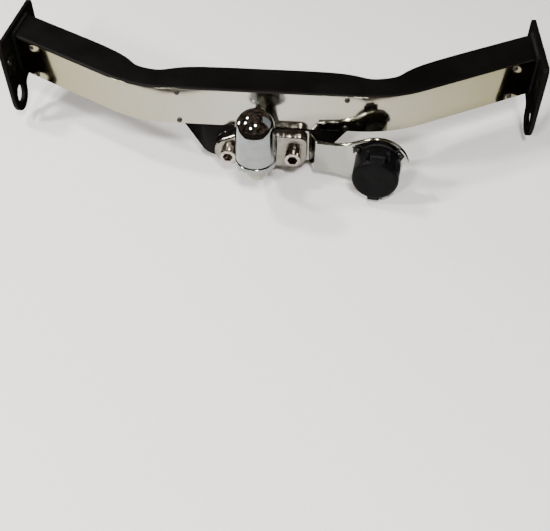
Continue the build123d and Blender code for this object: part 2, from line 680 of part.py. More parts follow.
def cable_boot():
    """Rubber boot over the socket's rear spigot, tapering to an empty cable mouth."""
    grip, collar = SPIGOT_R + BOOT_GRIP, SPIGOT_R + BOOT_COLLAR[0]
    profile = [(grip, PANEL_BACK), (collar, PANEL_BACK), (collar, PANEL_BACK + BOOT_COLLAR[1]),
               (SPIGOT_R + BOOT_SHOULDER[0], PANEL_BACK + BOOT_SHOULDER[1]), BOOT_NECK,
               (BOOT_TIP_R, BOOT_END), (BOOT_MOUTH_R, BOOT_END), (BOOT_MOUTH_R, BOOT_END - BOOT_MOUTH_LONG),
               (SPIGOT_R - 2 * OVER, SPIGOT_END + 2 * OVER), (grip, SPIGOT_END + WASHER_FIT)]
    face = Plane.XY * make_face(Polyline(*profile, close=True))
    return Pos(SOCKET_X, 0, SOCKET_Z) * revolve(face, Axis.Y, 360)


def socket_lid():
    """Domed lid with a raised hinge flap, two knuckles and a lifting lip at its foot."""
    back = MOUTH_Y - LID_GAP
    disc = along_y(SOCKET_X, SOCKET_Z, LID_FRONT, back, BARREL_R)
    flap_top = HINGE_Z + KNUCKLE_R
    flap_low = SOCKET_Z + BARREL_R - LID_FLAP_SUNK
    flap = Pos(SOCKET_X, (LID_FRONT + back) / 2, (flap_top + flap_low) / 2) * Box(
        2 * FLAP_HALF, back - LID_FRONT, flap_top - flap_low)
    shell = disc + flap
    rim = shell.edges().filter_by(lambda e: e.center().Y < LID_FRONT + FIT)
    shell = fillet(rim, LID_EDGE_R)
    bridge = Pos(SOCKET_X, (back + HINGE_Y) / 2 - OVER, HINGE_Z + LID_BRIDGE_RISE) * Box(
        2 * FLAP_HALF, HINGE_Y - back + 2 * OVER, 2 * (KNUCKLE_R - LID_BRIDGE_RISE))
    shell += bridge + hinge_rod(SOCKET_X - FLAP_HALF, SOCKET_X + FLAP_HALF, KNUCKLE_R)
    pocket = FLAP_HALF - FLAP_EAR
    spring_room = SPRING_MEAN_R + SPRING_WIRE / 2 + SPRING_CLEAR
    shell -= hinge_rod(SOCKET_X - pocket, SOCKET_X + pocket, spring_room)
    shell -= Pos(SOCKET_X, HINGE_Y, HINGE_Z - KNUCKLE_R) * Box(2 * pocket, 3 * KNUCKLE_R, 2 * KNUCKLE_R)
    reach = FLAP_HALF + OVER
    shell -= hinge_rod(SOCKET_X - reach, SOCKET_X + reach, HINGE_PIN_R + HINGE_RUN)
    shell -= along_y(SOCKET_X, SOCKET_Z, LID_FRONT + LID_WALL, back + OVER, LID_HOLLOW_R)
    lip = Pos(SOCKET_X, (LID_FRONT + back) / 2, SOCKET_Z - BARREL_R) * Box(
        LID_LIP[0], back - LID_FRONT - LID_LIP_SET_BACK, LID_LIP[1])
    return shell + fillet(lip.edges().filter_by(Axis.Y), LID_LIP_ROUND)


def lid_seal():
    """Rubber ring in the lid that meets the socket's mouth."""
    return flat_washer(SOCKET_X, SOCKET_Z, MOUTH_Y - LID_GAP, SEAL_FRONT, *SEAL_RADII)


def spring_point(turn):
    """Centre line of the lid spring, by turns from its middle."""
    angle = 2 * pi * turn
    return (SOCKET_X + SPRING_PITCH * turn, HINGE_Y + SPRING_MEAN_R * cos(angle),
            HINGE_Z + SPRING_MEAN_R * sin(angle))


def lid_spring():
    """Torsion spring round the hinge pin, one unbroken wire."""
    coil = Helix(SPRING_PITCH, SPRING_PITCH * SPRING_TURNS, SPRING_MEAN_R)
    start = coil @ 0
    section = Plane(origin=start, z_dir=coil % 0) * Circle(SPRING_WIRE / 2)
    wire = sweep(section, path=coil)
    place = Plane(origin=(SOCKET_X - SPRING_PITCH * SPRING_TURNS / 2, HINGE_Y, HINGE_Z), z_dir=(1, 0, 0))
    return place * wire


def spring_gap():
    """Least gap of the spring's wire to itself, measured on points a turn or more apart."""
    steps = 40
    points = [spring_point(-SPRING_TURNS / 2 + i / steps) for i in range(SPRING_TURNS * steps + 1)]
    apart = [hypot(*[a - b for a, b in zip(points[i], points[j])])
             for i in range(len(points)) for j in range(i + steps // 2, len(points))]
    return min(apart) - SPRING_WIRE


def hinge_pin():
    reach = FLAP_HALF + LUG_GAP + LUG_WIDE
    return hinge_rod(SOCKET_X - reach, SOCKET_X + reach, HINGE_PIN_R)


def group(solids):
    """Several like solids kept in one node."""
    return Compound([solid for shape in solids for solid in shape.solids()])


def save(node, shape):
    export_step(shape, f"parts/{node}.step")


def main():
    os.makedirs("parts", exist_ok=True)
    tube_block = tube_solid(0.0, TUBE_CORNER)
    right_plate, right_weld = end_plate(), plate_weld(tube_block)
    seat = mounting_plate()
    bolts_x = (-BOLT_X, BOLT_X)
    ears = [polar(EAR_CIRCLE_R, angle) for angle in EAR_ANGLES]
    save("cross_tube", cross_tube())
    save("right_end_plate", right_plate)
    save("left_end_plate", mirror(right_plate, about=Plane.YZ))
    save("right_plate_weld", right_weld)
    save("left_plate_weld", mirror(right_weld, about=Plane.YZ))
    save("trim_strip", trim_strip())
    save("trim_screws", group([trim_screw(run, z) for run, z in spots()]))
    save("neck_mounting_plate", seat)
    save("mounting_plate_welds", seat_welds(tube_block, seat))
    save("tow_ball_neck", ball_neck())
    save("neck_bolts", group([neck_bolt(x) for x in bolts_x]))
    save("neck_flat_washers", group([flat_washer(
        x, BOLT_Z, SEAT_THICK, SEAT_THICK + WASHER_THICK, WASHER_R, BOLT_R + FLAT_FIT) for x in bolts_x]))
    save("neck_lock_washers", group([lock_washer(x) for x in bolts_x]))
    nut_from = SEAT_THICK + WASHER_THICK + LOCK_THICK
    save("neck_nuts", group([hex_nut(
        x, BOLT_Z, nut_from, NUT_HIGH, NUT_FLATS, BOLT_R + NUT_FIT) for x in bolts_x]))
    save("ball_cap", ball_cap())
    save("socket_bracket", socket_bracket())
    save("socket_gasket", turned(socket_gasket()))
    save("socket_housing", turned(socket_housing()))
    save("contact_insert", turned(contact_insert()))
    save("contact_pins", group([turned(contact_pin(x, z)) for x, z in contact_places()]))
    save("socket_screws", group([turned(socket_screw(x, z)) for x, z in ears]))
    small_nut_from = PANEL_BACK + M5_WASHER_THICK
    save("socket_washers", group([turned(flat_washer(
        x, z, PANEL_BACK, small_nut_from, M5_WASHER_R, M5_R + WASHER_FIT)) for x, z in ears]))
    save("socket_nuts", group([turned(hex_nut(
        x, z, small_nut_from, M5_NUT_HIGH, M5_NUT_FLATS, M5_R + FIT)) for x, z in ears]))
    save("cable_boot", turned(cable_boot()))
    save("socket_lid", turned(socket_lid()))
    save("lid_seal", turned(lid_seal()))
    save("lid_hinge_pin", turned(hinge_pin()))
    save("lid_spring", turned(lid_spring()))
    print("lid spring's least gap to itself, mm:", round(spring_gap(), 2))


main()
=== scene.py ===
import json
from math import atan2, cos, degrees, pi, radians, sin, sqrt, tan

import bpy
from mathutils import Matrix, Vector


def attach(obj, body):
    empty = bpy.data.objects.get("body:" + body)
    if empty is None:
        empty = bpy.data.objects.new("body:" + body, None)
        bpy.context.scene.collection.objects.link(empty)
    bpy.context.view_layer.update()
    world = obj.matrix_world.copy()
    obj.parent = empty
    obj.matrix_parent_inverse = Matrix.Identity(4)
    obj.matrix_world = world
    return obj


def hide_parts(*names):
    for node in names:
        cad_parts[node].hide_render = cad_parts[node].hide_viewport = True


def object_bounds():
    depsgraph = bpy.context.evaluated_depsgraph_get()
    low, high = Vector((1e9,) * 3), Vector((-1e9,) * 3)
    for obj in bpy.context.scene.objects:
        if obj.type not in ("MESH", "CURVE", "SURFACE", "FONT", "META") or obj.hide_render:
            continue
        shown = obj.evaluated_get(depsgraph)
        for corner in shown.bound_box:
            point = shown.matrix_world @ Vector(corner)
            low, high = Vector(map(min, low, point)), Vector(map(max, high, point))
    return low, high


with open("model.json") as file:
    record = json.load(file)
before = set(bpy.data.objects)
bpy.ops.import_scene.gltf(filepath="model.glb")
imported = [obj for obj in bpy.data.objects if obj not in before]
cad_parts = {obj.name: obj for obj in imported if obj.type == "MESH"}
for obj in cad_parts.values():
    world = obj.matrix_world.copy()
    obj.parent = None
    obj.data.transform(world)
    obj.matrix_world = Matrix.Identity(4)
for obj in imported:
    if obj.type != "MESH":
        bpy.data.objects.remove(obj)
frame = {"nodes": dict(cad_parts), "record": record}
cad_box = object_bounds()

# Trailer hitch: bent cross tube with a polished trim strip, a bolted ball neck under a
# bright cap, and a bracketed trailer socket. Metres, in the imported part's own frame:
# +X runs to the socket's side, +Y to the vehicle, and the tube's front face is at y = 0.

# Photograph and camera
PHOTO_WIDE = 550
FOCAL_PIXELS = 783.8
SENSOR = 36.0
CAMERA_AT = Vector((0.1130, -0.9693, 0.6725))
CAMERA_RIGHT = Vector((0.99578, 0.09159, -0.00596))
CAMERA_AHEAD = Vector((-0.06809, 0.69354, -0.71719))
CAMERA_CLIP = (0.05, 60.0)

# Cross tube, with the squashed inside of its bends
TUBE = 0.0635
HALF = TUBE / 2
TUBE_CORNER = 0.005
STRAIGHT_HALF = 0.1438
BEND_RADIUS = 0.184
BEND_ANGLE = radians(30)
BEND_RUN = BEND_RADIUS * BEND_ANGLE
BEND_END = STRAIGHT_HALF + BEND_RUN
DENT_DEPTH = 0.016
DENT_SPREAD = 0.0528
DENT_REACH = 0.144
SADDLE = 0.003
BAR_CUTS = 180
REAR_CUTS = 7

# End plates and their welds
PLATE_X = 0.415
PLATE_THICK = 0.00635
PLATE_FRONT = 0.076
PLATE_BACK = 0.2325
PLATE_TOP = 0.041
PLATE_BACK_LOW = -0.033
PLATE_SLOPE = radians(14.5)
PLATE_CORNERS = (0.009, 0.008, 0.006)
TAB = Vector((0.105, -0.062))
TAB_R = 0.029
TAB_NECK_R = 0.012
PLATE_HOLES = ((TAB.x, TAB.y, 0.015), (0.095, 0.0025, 0.0075), (0.2195, 0.007, 0.0055))
WELD_LEG = 0.005
WELD_CROWN = 0.0005
WELD_RIPPLE = 0.0026
RIPPLE_SWELL = 0.9
RIPPLE_BOW = 2.2
RIPPLE_STEPS = 6
BEAD_ROWS = 10
BEAD_FLANK = 0.1

# Trim strip and screws
STRIP_THICK = 0.0014
STRIP_HALF = 0.030
STRIP_END_GAP = 0.008
TRIM_SCREW_X = 0.1253
TRIM_SCREW_FROM_PLATE = 0.0436
TRIM_SCREW_Z = 0.0244

# Pan-head screws: head radius and height, then shank radius and length. The crown is drawn
# in shares of the head's radius and height, and the recess's two slots are so long and wide.
TRIM_SCREW = (0.004, 0.0022, 0.0017, 0.004)
SOCKET_SCREW = (0.0041, 0.0028, 0.0025, 0.016)
PAN_CROWN = ((0, 1), (0.62, 0.97), (0.86, 0.82), (1, 0.5), (1, 0))
RECESS = (0.0044, 0.0009)
RECESS_FLOOR = 0.4

# Neck mounting plate
SEAT_THICK = 0.008
SEAT_HALF = 0.088
SEAT_LOW = -0.090
WING_END = Vector((0.131, 0.052))
WING_BEND_R = 0.012
WING_LEG = WING_END - Vector((SEAT_HALF, SEAT_THICK / 2))
WING_HEADING = atan2(WING_LEG.y, WING_LEG.x)
WING_FOOT = ((0.070, SEAT_LOW, 0.014), (0.092, -0.0805, 0.030), (0.123, -0.0645, 0.030))
WING_SIDE = (0.141, -0.060)
SEAT_CUTS = 119
SEAT_WELD_HALF = 0.082
FRONT_BEAD = (0.0004, 0.006)
FRONT_BEAD_HIGH = 0.0026

# Ball neck
BALL_R = 0.025
BALL_Y = -0.0865
BALL_Z = 0.028
BALL_FLAT_Z = 0.0523
STEM_R = 0.0135
NECK_TOP_Z = -0.030
BALL_FILLET = 0.004
STEM_SUNK = 0.002
UNDERCUT = 0.0006
UNDERCUT_FROM = 0.0012
UNDERCUT_TO = 0.002

# Voxel size and rounds of smoothing of what is cast or moulded in one
NECK_CAST = (0.0009, 8)
SOCKET_CAST = (0.0007, 2)
LID_CAST = (0.0006, 3)

# Neck bolts, their nuts and their washers' inner and outer radius
BOLT_X = 0.049
BOLT_Z = -0.063
FLANGE_FRONT = -0.021
BOLT_HEAD_HIGH = 0.016
BOLT_HEAD_R = 0.012
BOLT_HEAD_ROUND = ((0.0012, 0), (0.0003, 0.0004), (0, 0.0012))
BOLT_HEAD_EDGE = 0.0004
BOLT_R = 0.008
BOLT_LONG = 0.055
BOLT_POINT = 0.0012
THREAD_FROM = 0.025
THREAD_PITCH = 0.002
THREAD_DEEP = 0.0009
HEX_KEY = 0.014
KEY_DEEP = 0.008
NUT_FLATS = 0.024
NUT_HIGH = 0.013
NUT_EDGE = 0.0006
NUT_BITE = 0.07
NUT_BITE_RISE = 0.6
NUT_OVER = 0.0001
WASHER_THICK = 0.003
WASHER_EDGE = 0.0003
LOCK_THICK = 0.004
LOCK_EDGE = 0.0005
FLAT_WASHER = (BOLT_R + 0.0005, 0.015)
LOCK_WASHER = (BOLT_R + 0.0002, 0.0137)
SPLIT_HALF = 0.001
SPLIT_SPAN = (0.005, 0.016)
SPLIT_LEAN = 0.4

# Painted shade in the bolts' recess: the radius where it thins out, how far behind the head's tip it
# starts, and where it ends
RECESS_SHADE_R = (0.0070, 0.0080)
RECESS_SHADE_FROM = (0.0004, 0.0016)
RECESS_SHADE_END = 0.010

# Ball cap
CAP_R = 0.028
CAP_WALL = 0.0019
CAP_RIM_R = 0.0292
CAP_LOW = -0.0294
CAP_DOME_Z = 0.0285
CAP_EDGE = 0.0005
CAP_GROOVE_Z = -0.0198
CAP_GROOVE_DEEP = 0.0008
CAP_GROOVE_STEPS = (0.0004, 0.0014, 0.0022, 0.0027)

# Socket, laid out square and then turned with its bracket's panel about its left edge
SOCKET = Vector((0.1775, 0, -0.0624))
PANEL_LEFT = 0.0807
PANEL_BACK = -0.0216
PANEL_TURN = radians(5.95)
HOUSING_BACK = -0.0256
EAR_THICK = 0.003
EAR_CIRCLE_R = 0.0389
EAR_ANGLES = (142, 38, 270)
SPIGOT_R = 0.019

# Cable boot: ribs on a cone, each drawn by shares of its pitch and how deep they are sunk,
# and its inside by how far it is out from the spigot and along from the panel
BOOT_END = 0.008
BOOT_WALL = 0.004
BOOT_EASE = 0.0006
BOOT_PLAY = 0.0002
BOOT_COLLAR = 0.005
BOOT_WAIST = (0.001, 0.0075)
BOOT_RIBS = 4
BOOT_RIB = ((0.0, 0.0), (0.45, 0.0), (0.6, 0.0016), (0.85, 0.0016))
BOOT_CONE = (0.0198, 0.0104)
BOOT_CONE_FROM = 0.009
BOOT_CONE_BACK = 0.006
BOOT_NOSE_R = 0.0088
BOOT_LIP = (0.008, 0.001)
BOOT_MOUTH_R = 0.005
BOOT_MOUTH_EASE = 0.0004
BOOT_MOUTH_DEEP = 0.007
BOOT_INSIDE = ((-0.002, 0.006), (0.0002, 0.0042), (0.0002, 0.0))

# Studio: the floor and background, the room's two colours and its clutter, and each lamp's
# direction, distance, size, power and tint
FLOOR_R = 4.5
FLOOR_PALE = (0.90, 0.90, 0.895)
FLOOR_ROUGH = 0.95
# Colour of the cards that only reflections see: painted shade
CARD_PAINTED_SHADE = (0.02, 0.016, 0.012)
BACKGROUND = (0.72, 0.72, 0.715)
ROOM = ((0.020, 0.014, 0.010), (0.30, 0.22, 0.165))
CLUTTER = {"Scale": 3.5, "Detail": 5.0}
CLUTTER_RANGE = (0.40, 0.70)
LAMPS = (
    ((-0.925, 0.370, 0.056), 3.0, 0.42, 0.42, 40, (1.0, 0.97, 0.92)),
    ((-0.573, 0.208, 0.783), 3.0, 0.34, 0.34, 56, (1.0, 0.96, 0.90)),
    ((-0.751, -0.160, 0.634), 3.0, 0.40, 0.40, 72, (1.0, 0.98, 0.95)),
    ((0.131, -0.603, 0.788), 3.0, 0.42, 0.42, 86, (1.0, 0.98, 0.95)),
    ((-0.308, -0.780, 0.548), 3.0, 0.38, 0.38, 68, (1.0, 0.97, 0.93)),
    ((0.864, 0.333, 0.372), 3.5, 2.4, 3.4, 16, (0.95, 0.98, 1.0)),
)

# Dark cards just over the floor, in front and behind, round a bright patch under the hitch: painted
# shade that only reflections see, for the dark under the hitch and the dim room round it
BRIGHT_R = 0.235
BRIGHT_ARC = 41.0
BRIGHT_FRONT = ((0.27, -0.24), (0.38, -0.20), (0.50, -0.11), (0.70, 0.01), (0.70, 0.13))
BRIGHT_REAR = ((0.26, 0.004), (0.34, 0.03), (0.53, 0.14), (0.70, 0.22), (0.70, 0.13))
CARD_LIFT = 0.002
CARD_REACH = 7.0

# How finely things are turned and rounded, the overshoot of a cutting tool, how near counts
# as touching, how near two points are merged, and how level two faces are that become one
SIDES = 96
FINE_SIDES = 128
RING_SIDES = 72
SCREW_SIDES = 32
HOLE_SIDES = 64
ARC_STEPS = 8
CORNER_STEPS = 6
OVER = 0.001
TOUCH = 0.0001
MERGE = 0.000002
FLAT_WITHIN = radians(0.5)

# Degrees past which an edge stays crisp: on most pieces, on turned or folded metal, on the
# rubber boot, on weld beads, and on what is cast or moulded in one
CRISP, TURNED_CRISP, BOOT_CRISP, BEAD_CRISP, CAST_CRISP = 35, 30, 50, 60, 80

# Width of the rounding on each piece's edges, and degrees past which an edge gets it
PLATE_EASE = (0.0006, 40)
SEAT_EASE = (0.0008, 50)
BALL_EASE = (0.0004, 25)
BRACKET_EASE = (0.0003, 50)

# A Mix node's two colours and its result, which share their names with its other sockets
MIX_FIRST, MIX_SECOND, MIX_RESULT = 6, 7, 2


def begin():
    """Nothing selected, so that an operator acts only on what comes next."""
    bpy.ops.object.select_all(action="DESELECT")


def only(piece):
    """Just one piece selected and active."""
    begin()
    piece.select_set(True)
    bpy.context.view_layer.objects.active = piece


def leave():
    """Back to object mode."""
    bpy.ops.object.mode_set(mode="OBJECT")


def made(name):
    """The primitive just added, named and with its place in its mesh."""
    piece = bpy.context.object
    piece.name = piece.data.name = name
    bpy.ops.object.transform_apply(location=True, rotation=True, scale=True)
    return piece


def choose(piece, kind, test):
    """Edit mode, with just the vertices, edges or faces that pass a test selected."""
    only(piece)
    bpy.ops.object.mode_set(mode="EDIT")
    bpy.ops.mesh.select_mode(type=kind)
    bpy.ops.mesh.select_all(action="DESELECT")
    leave()
    mesh = piece.data
    for part in {"VERT": mesh.vertices, "EDGE": mesh.edges, "FACE": mesh.polygons}[kind]:
        part.select = test(part)
    bpy.ops.object.mode_set(mode="EDIT")


def everything(part):
    """A test that every part passes."""
    return True


def runs_along(piece, axis):
    """A test for edges that run along an axis."""
    def test(edge):
        start, end = (piece.data.vertices[index].co for index in edge.vertices)
        step = end - start
        return abs(step[axis]) > 0.99 * step.length

    return test


def tidied(piece):
    """Doubles merged and every face turned outwards."""
    choose(piece, "VERT", everything)
    bpy.ops.mesh.remove_doubles(threshold=MERGE)
    bpy.ops.mesh.normals_make_consistent(inside=False)
    leave()
    return piece


def applied(piece, kind, **settings):
    """A piece with a modifier's work done on it."""
    only(piece)
    modifier = piece.modifiers.new(kind.lower(), kind)
    for key, value in settings.items():
        setattr(modifier, key, value)
    bpy.ops.object.modifier_apply(modifier=modifier.name)
    return piece


def eased(piece, width, angle):
    """Edges sharper than an angle rounded over."""
    return applied(piece, "BEVEL", width=width, segments=2, limit_method="ANGLE",
                   angle_limit=radians(angle))


def less(piece, tool, operation="DIFFERENCE"):
    """A piece with another shape taken out of it, or kept to that shape."""
    applied(piece, "BOOLEAN", object=tool, operation=operation, solver="EXACT")
    bpy.data.objects.remove(tool)
    return piece


def cast(piece, voxel, rounds):
    """Shells fused into one skin, with its edges worn soft."""
    applied(piece, "REMESH", mode="VOXEL", voxel_size=voxel)
    return applied(piece, "SMOOTH", factor=0.5, iterations=rounds)


def moved(piece, matrix):
    """A piece with its mesh placed by a matrix."""
    piece.data.transform(matrix)
    return piece


def fitted(piece, body, slot, *nodes, angle=CRISP):
    """A finished piece: shaded, dressed, and set to ride and stand for its nodes."""
    only(piece)
    bpy.ops.object.shade_smooth_by_angle(angle=radians(angle))
    dress(piece, slot)
    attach(piece, body)
    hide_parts(*nodes)
    return piece


def chain(name, points, closed=False):
    """Edges through points, drawn by extruding one vertex, and filled where they close."""
    begin()
    bpy.ops.mesh.primitive_plane_add(size=OVER, location=points[0])
    bpy.ops.object.mode_set(mode="EDIT")
    bpy.ops.mesh.select_mode(type="VERT")
    bpy.ops.mesh.merge(type="CENTER")
    for start, end in zip(points, points[1:]):
        step = Vector(end) - Vector(start)
        bpy.ops.mesh.extrude_vertices_move(TRANSFORM_OT_translate={"value": step})
    if closed:
        bpy.ops.mesh.select_all(action="SELECT")
        bpy.ops.mesh.edge_face_add()
    leave()
    return made(name)


def turned(name, profile, sides=SIDES):
    """A profile of (radius, height) points spun round Z."""
    piece = chain(name, [(radius, 0, height) for radius, height in profile])
    choose(piece, "VERT", everything)
    bpy.ops.mesh.spin(steps=sides, angle=2 * pi, center=(0, 0, 0), axis=(0, 0, 1))
    leave()
    return tidied(piece)


def slab(name, outline, near, far):
    """An outline of (y, z) points filled and given thickness along X."""
    piece = chain(name, [(near, y, z) for y, z in outline], closed=True)
    choose(piece, "FACE", everything)
    step = Vector((far, 0, 0)) - Vector((near, 0, 0))
    bpy.ops.mesh.extrude_region_move(TRANSFORM_OT_translate={"value": step})
    leave()
    return tidied(piece)


def block(name, low, high):
    """A box between two corners, to cut or to build with."""
    low, high = Vector(low), Vector(high)
    begin()
    bpy.ops.mesh.primitive_cube_add(size=1, location=(low + high) / 2, scale=high - low)
    return made(name)


def rod(name, start, end, radius, sides=48):
    """A round rod from one point to another."""
    start, end = Vector(start), Vector(end)
    begin()
    bpy.ops.mesh.primitive_cylinder_add(
        vertices=sides, radius=radius, depth=(end - start).length, location=(start + end) / 2,
        rotation=(end - start).to_track_quat("Z", "Y").to_euler())
    return made(name)


def grid(name, across, along, place):
    """A grid whose points go where a rule puts them, by two shares from 0 to 1."""
    begin()
    bpy.ops.mesh.primitive_grid_add(x_subdivisions=across, y_subdivisions=along, size=1)
    piece = made(name)
    for vertex in piece.data.vertices:
        vertex.co = place(vertex.co.x + 0.5, vertex.co.y + 0.5)
    return tidied(piece)


def copy_of(piece, name):
    """Another of the same piece, with its own mesh."""
    only(piece)
    bpy.ops.object.duplicate()
    copy = bpy.context.object
    copy.name = copy.data.name = name
    return copy


def shape_of(node, name):
    """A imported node's shape, merged, to be worked on."""
    source = frame["nodes"][node]
    mesh = source.data.copy()
    piece = bpy.data.objects.new(name, mesh)
    mesh.name = name
    bpy.context.scene.collection.objects.link(piece)
    only(piece)
    bpy.ops.mesh.customdata_custom_splitnormals_clear()
    return tidied(piece)


def with_panel():
    """Turns the socket's side with the bracket's panel."""
    hinge = Matrix.Translation((PANEL_LEFT, PANEL_BACK, 0))
    return hinge @ Matrix.Rotation(-PANEL_TURN, 4, "Z") @ hinge.inverted()


def forward(at):
    """Turns a piece made along Z so that its height runs along +Y from a place."""
    return Matrix.Translation(at) @ Matrix.Rotation(radians(-90), 4, "X")


def arc(centre, radius, start, stop, steps=ARC_STEPS):
    """Points round part of a circle, by angles in degrees."""
    angles = [radians(start + (stop - start) * step / steps) for step in range(steps + 1)]
    return [(centre[0] + radius * cos(angle), centre[1] + radius * sin(angle)) for angle in angles]


def rounded(corners):
    """An outline through (x, y, radius) corners, each rounded by its radius."""
    outline = []
    for index, (x, y, radius) in enumerate(corners):
        corner = Vector((x, y))
        if radius == 0:
            outline.append((x, y))
            continue
        before = (Vector(corners[index - 1][:2]) - corner).normalized()
        after = (Vector(corners[(index + 1) % len(corners)][:2]) - corner).normalized()
        half = before.angle(after) / 2
        centre = corner + (before + after).normalized() * radius / sin(half)
        first = corner + before * radius / tan(half) - centre
        last = corner + after * radius / tan(half) - centre
        start = degrees(atan2(first.y, first.x))
        turn = (degrees(atan2(last.y, last.x)) - start + 180) % 360 - 180
        outline += arc(centre, radius, start, start + turn)
    return outline


def between(points, x):
    """Height of a line through points, ordered by their first number, at a place along it."""
    for (x_from, y_from), (x_to, y_to) in zip(points, points[1:]):
        if x <= x_to:
            return y_from + (y_to - y_from) * max(x - x_from, 0) / (x_to - x_from)
    return points[-1][1]


def plan_point(run, depth=0.0):
    """Plan point at a run along the tube's front face from the middle, and a depth behind it."""
    side = -1 if run < 0 else 1
    turn = min(max(abs(run) - STRAIGHT_HALF, 0), BEND_RUN) / BEND_RADIUS
    past = max(abs(run) - BEND_END, 0)
    radius = BEND_RADIUS - depth
    x = min(abs(run), STRAIGHT_HALF) + radius * sin(turn) + past * cos(turn)
    y = BEND_RADIUS - radius * cos(turn) + past * sin(turn)
    return side * x, y


ARM_RUN = (PLATE_X - plan_point(BEND_END)[0]) / cos(BEND_ANGLE)
REACH = BEND_END + ARM_RUN


def tube_point(share, depth, end_gap=0.0):
    """Plan point at a share of the way from the middle to an end plate, from -1 to 1."""
    run = abs(share) * REACH
    side = -1 if share < 0 else 1
    if run <= BEND_END:
        x, y = plan_point(run, depth)
        return side * x, y
    x, y = plan_point(BEND_END, depth)
    past = ((PLATE_X - x) / cos(BEND_ANGLE) - end_gap) * (run - BEND_END) / ARM_RUN
    return side * (x + past * cos(BEND_ANGLE)), y + past * sin(BEND_ANGLE)


def dent(run):
    """How far the bend's inner wall is squashed in, at a run along the front face."""
    def shape(away):
        return 1 / (1 + (away / DENT_SPREAD) ** 4)

    away = abs(abs(run) - STRAIGHT_HALF - BEND_RUN / 2)
    return DENT_DEPTH * max(shape(away) - shape(DENT_REACH), 0)


def straight_bar(name, near, far, half_high, corner):
    """A bar two metres long between two depths, with its long edges rounded."""
    bar = block(name, (-1, near, -half_high), (1, far, half_high))
    choose(bar, "EDGE", runs_along(bar, 0))
    bpy.ops.mesh.bevel(offset=corner, segments=CORNER_STEPS, affect="EDGES")
    leave()
    return bar


def cross_tube():
    """The square tube: bent, its bends squashed inside and their rear wall drawn hollow."""
    tube = straight_bar("cross_tube_shell", 0, TUBE, HALF, TUBE_CORNER)

    def rear_upright(edge):
        ends = [tube.data.vertices[index].co for index in edge.vertices]
        return all(end.y > TUBE - TOUCH for end in ends) and abs(ends[0].z - ends[1].z) > HALF

    choose(tube, "EDGE", rear_upright)
    bpy.ops.mesh.subdivide(number_cuts=REAR_CUTS)
    leave()
    choose(tube, "EDGE", runs_along(tube, 0))
    bpy.ops.mesh.subdivide(number_cuts=BAR_CUTS)
    leave()
    for vertex in tube.data.vertices:
        share, depth, z = vertex.co
        squash = dent(share * REACH)
        if depth > HALF:
            depth -= squash
        if vertex.co.y > TUBE - TOUCH:
            depth -= SADDLE * squash / DENT_DEPTH * (1 - (z / HALF) ** 2)
        x, y = tube_point(share, depth)
        vertex.co = (x, y, z)
    fitted(tidied(tube), "hitch", "black_paint", "cross_tube")


def trim_strip():
    """Thin polished strip that follows the tube's whole front face."""
    strip = straight_bar("polished_trim_strip", -STRIP_THICK, 0, STRIP_HALF, STRIP_THICK / 4)
    choose(strip, "EDGE", runs_along(strip, 0))
    bpy.ops.mesh.subdivide(number_cuts=BAR_CUTS)
    leave()
    for vertex in strip.data.vertices:
        share, depth, z = vertex.co
        x, y = tube_point(share, depth, STRIP_END_GAP)
        vertex.co = (x, y, z)
    fitted(tidied(strip), "hitch", "polished_strip", "trim_strip")


def pan_head(name, radius, high, shank_r, shank_long):
    """Pan-head screw with a cross recess, its seat at height 0 and its shank below."""
    profile = [(wide * radius, tall * high) for wide, tall in PAN_CROWN]
    profile += [(shank_r, 0), (shank_r, -shank_long), (0, -shank_long)]
    screw = turned(name, profile, SCREW_SIDES)
    for long, wide in (RECESS, RECESS[::-1]):
        low, top = RECESS_FLOOR * high, 2 * high
        less(screw, block("slot", (-long / 2, -wide / 2, low), (long / 2, wide / 2, top)))
    return screw


def trim_screws():
    """Eight screws that hold the strip, each square to the face under it."""
    first = pan_head("trim_screw", *TRIM_SCREW)
    runs = (TRIM_SCREW_X, REACH - TRIM_SCREW_FROM_PLATE)
    for number, share in enumerate([side * run / REACH for run in runs for side in (-1, 1)]):
        x, y = tube_point(share, -STRIP_THICK)
        out = (Vector(tube_point(share, -2 * STRIP_THICK)) - Vector((x, y))).normalized().to_3d()
        turn = out.to_track_quat("Z", "Y").to_matrix().to_4x4()
        for row, level in enumerate((-1, 1), 1):
            screw = copy_of(first, f"trim_screw_{2 * number + row}")
            moved(screw, Matrix.Translation((x, y, level * TRIM_SCREW_Z)) @ turn)
            fitted(screw, "hitch", "screw_steel", "trim_screws")
    bpy.data.objects.remove(first)


def plate_outline():
    """Side outline of an end plate: rounded panel, sloped foot and round tow tab."""
    slope = Vector((cos(PLATE_SLOPE), sin(PLATE_SLOPE)))
    down = Vector((slope.y, -slope.x))
    foot = Vector((TAB.x, PLATE_BACK_LOW - (PLATE_BACK - TAB.x) * tan(PLATE_SLOPE)))
    offset = foot + down * TAB_NECK_R - TAB
    share = offset.dot(slope)
    run = -share + sqrt(share ** 2 - offset.length_squared + (TAB_R + TAB_NECK_R) ** 2)
    neck = TAB + offset + slope * run
    toward = degrees(atan2(neck.y - TAB.y, neck.x - TAB.x))
    front_r, back_r, low_r = PLATE_CORNERS
    rounds = rounded([(PLATE_FRONT, PLATE_TOP, front_r), (PLATE_BACK, PLATE_TOP, back_r),
                      (PLATE_BACK, PLATE_BACK_LOW, low_r), (foot.x, foot.y, 0),
                      (PLATE_FRONT, TAB.y, 0)])[:-2]
    waist = arc(neck, TAB_NECK_R, 90 + degrees(PLATE_SLOPE), 180 + toward)
    return rounds + waist + arc(TAB, TAB_R, toward, -180, 4 * ARC_STEPS)[1:]


def end_plate(side, name, node):
    """Drilled plate with a tow tab, at one end of the tube."""
    near, far = side * PLATE_X, side * (PLATE_X + PLATE_THICK)
    plate = slab(name, plate_outline(), near, far)
    for y, z, radius in PLATE_HOLES:
        drill = rod("drill", (near - side * OVER, y, z), (far + side * OVER, y, z), radius, HOLE_SIDES)
        less(plate, drill)
    fitted(eased(plate, *PLATE_EASE), "hitch", "black_paint", node)


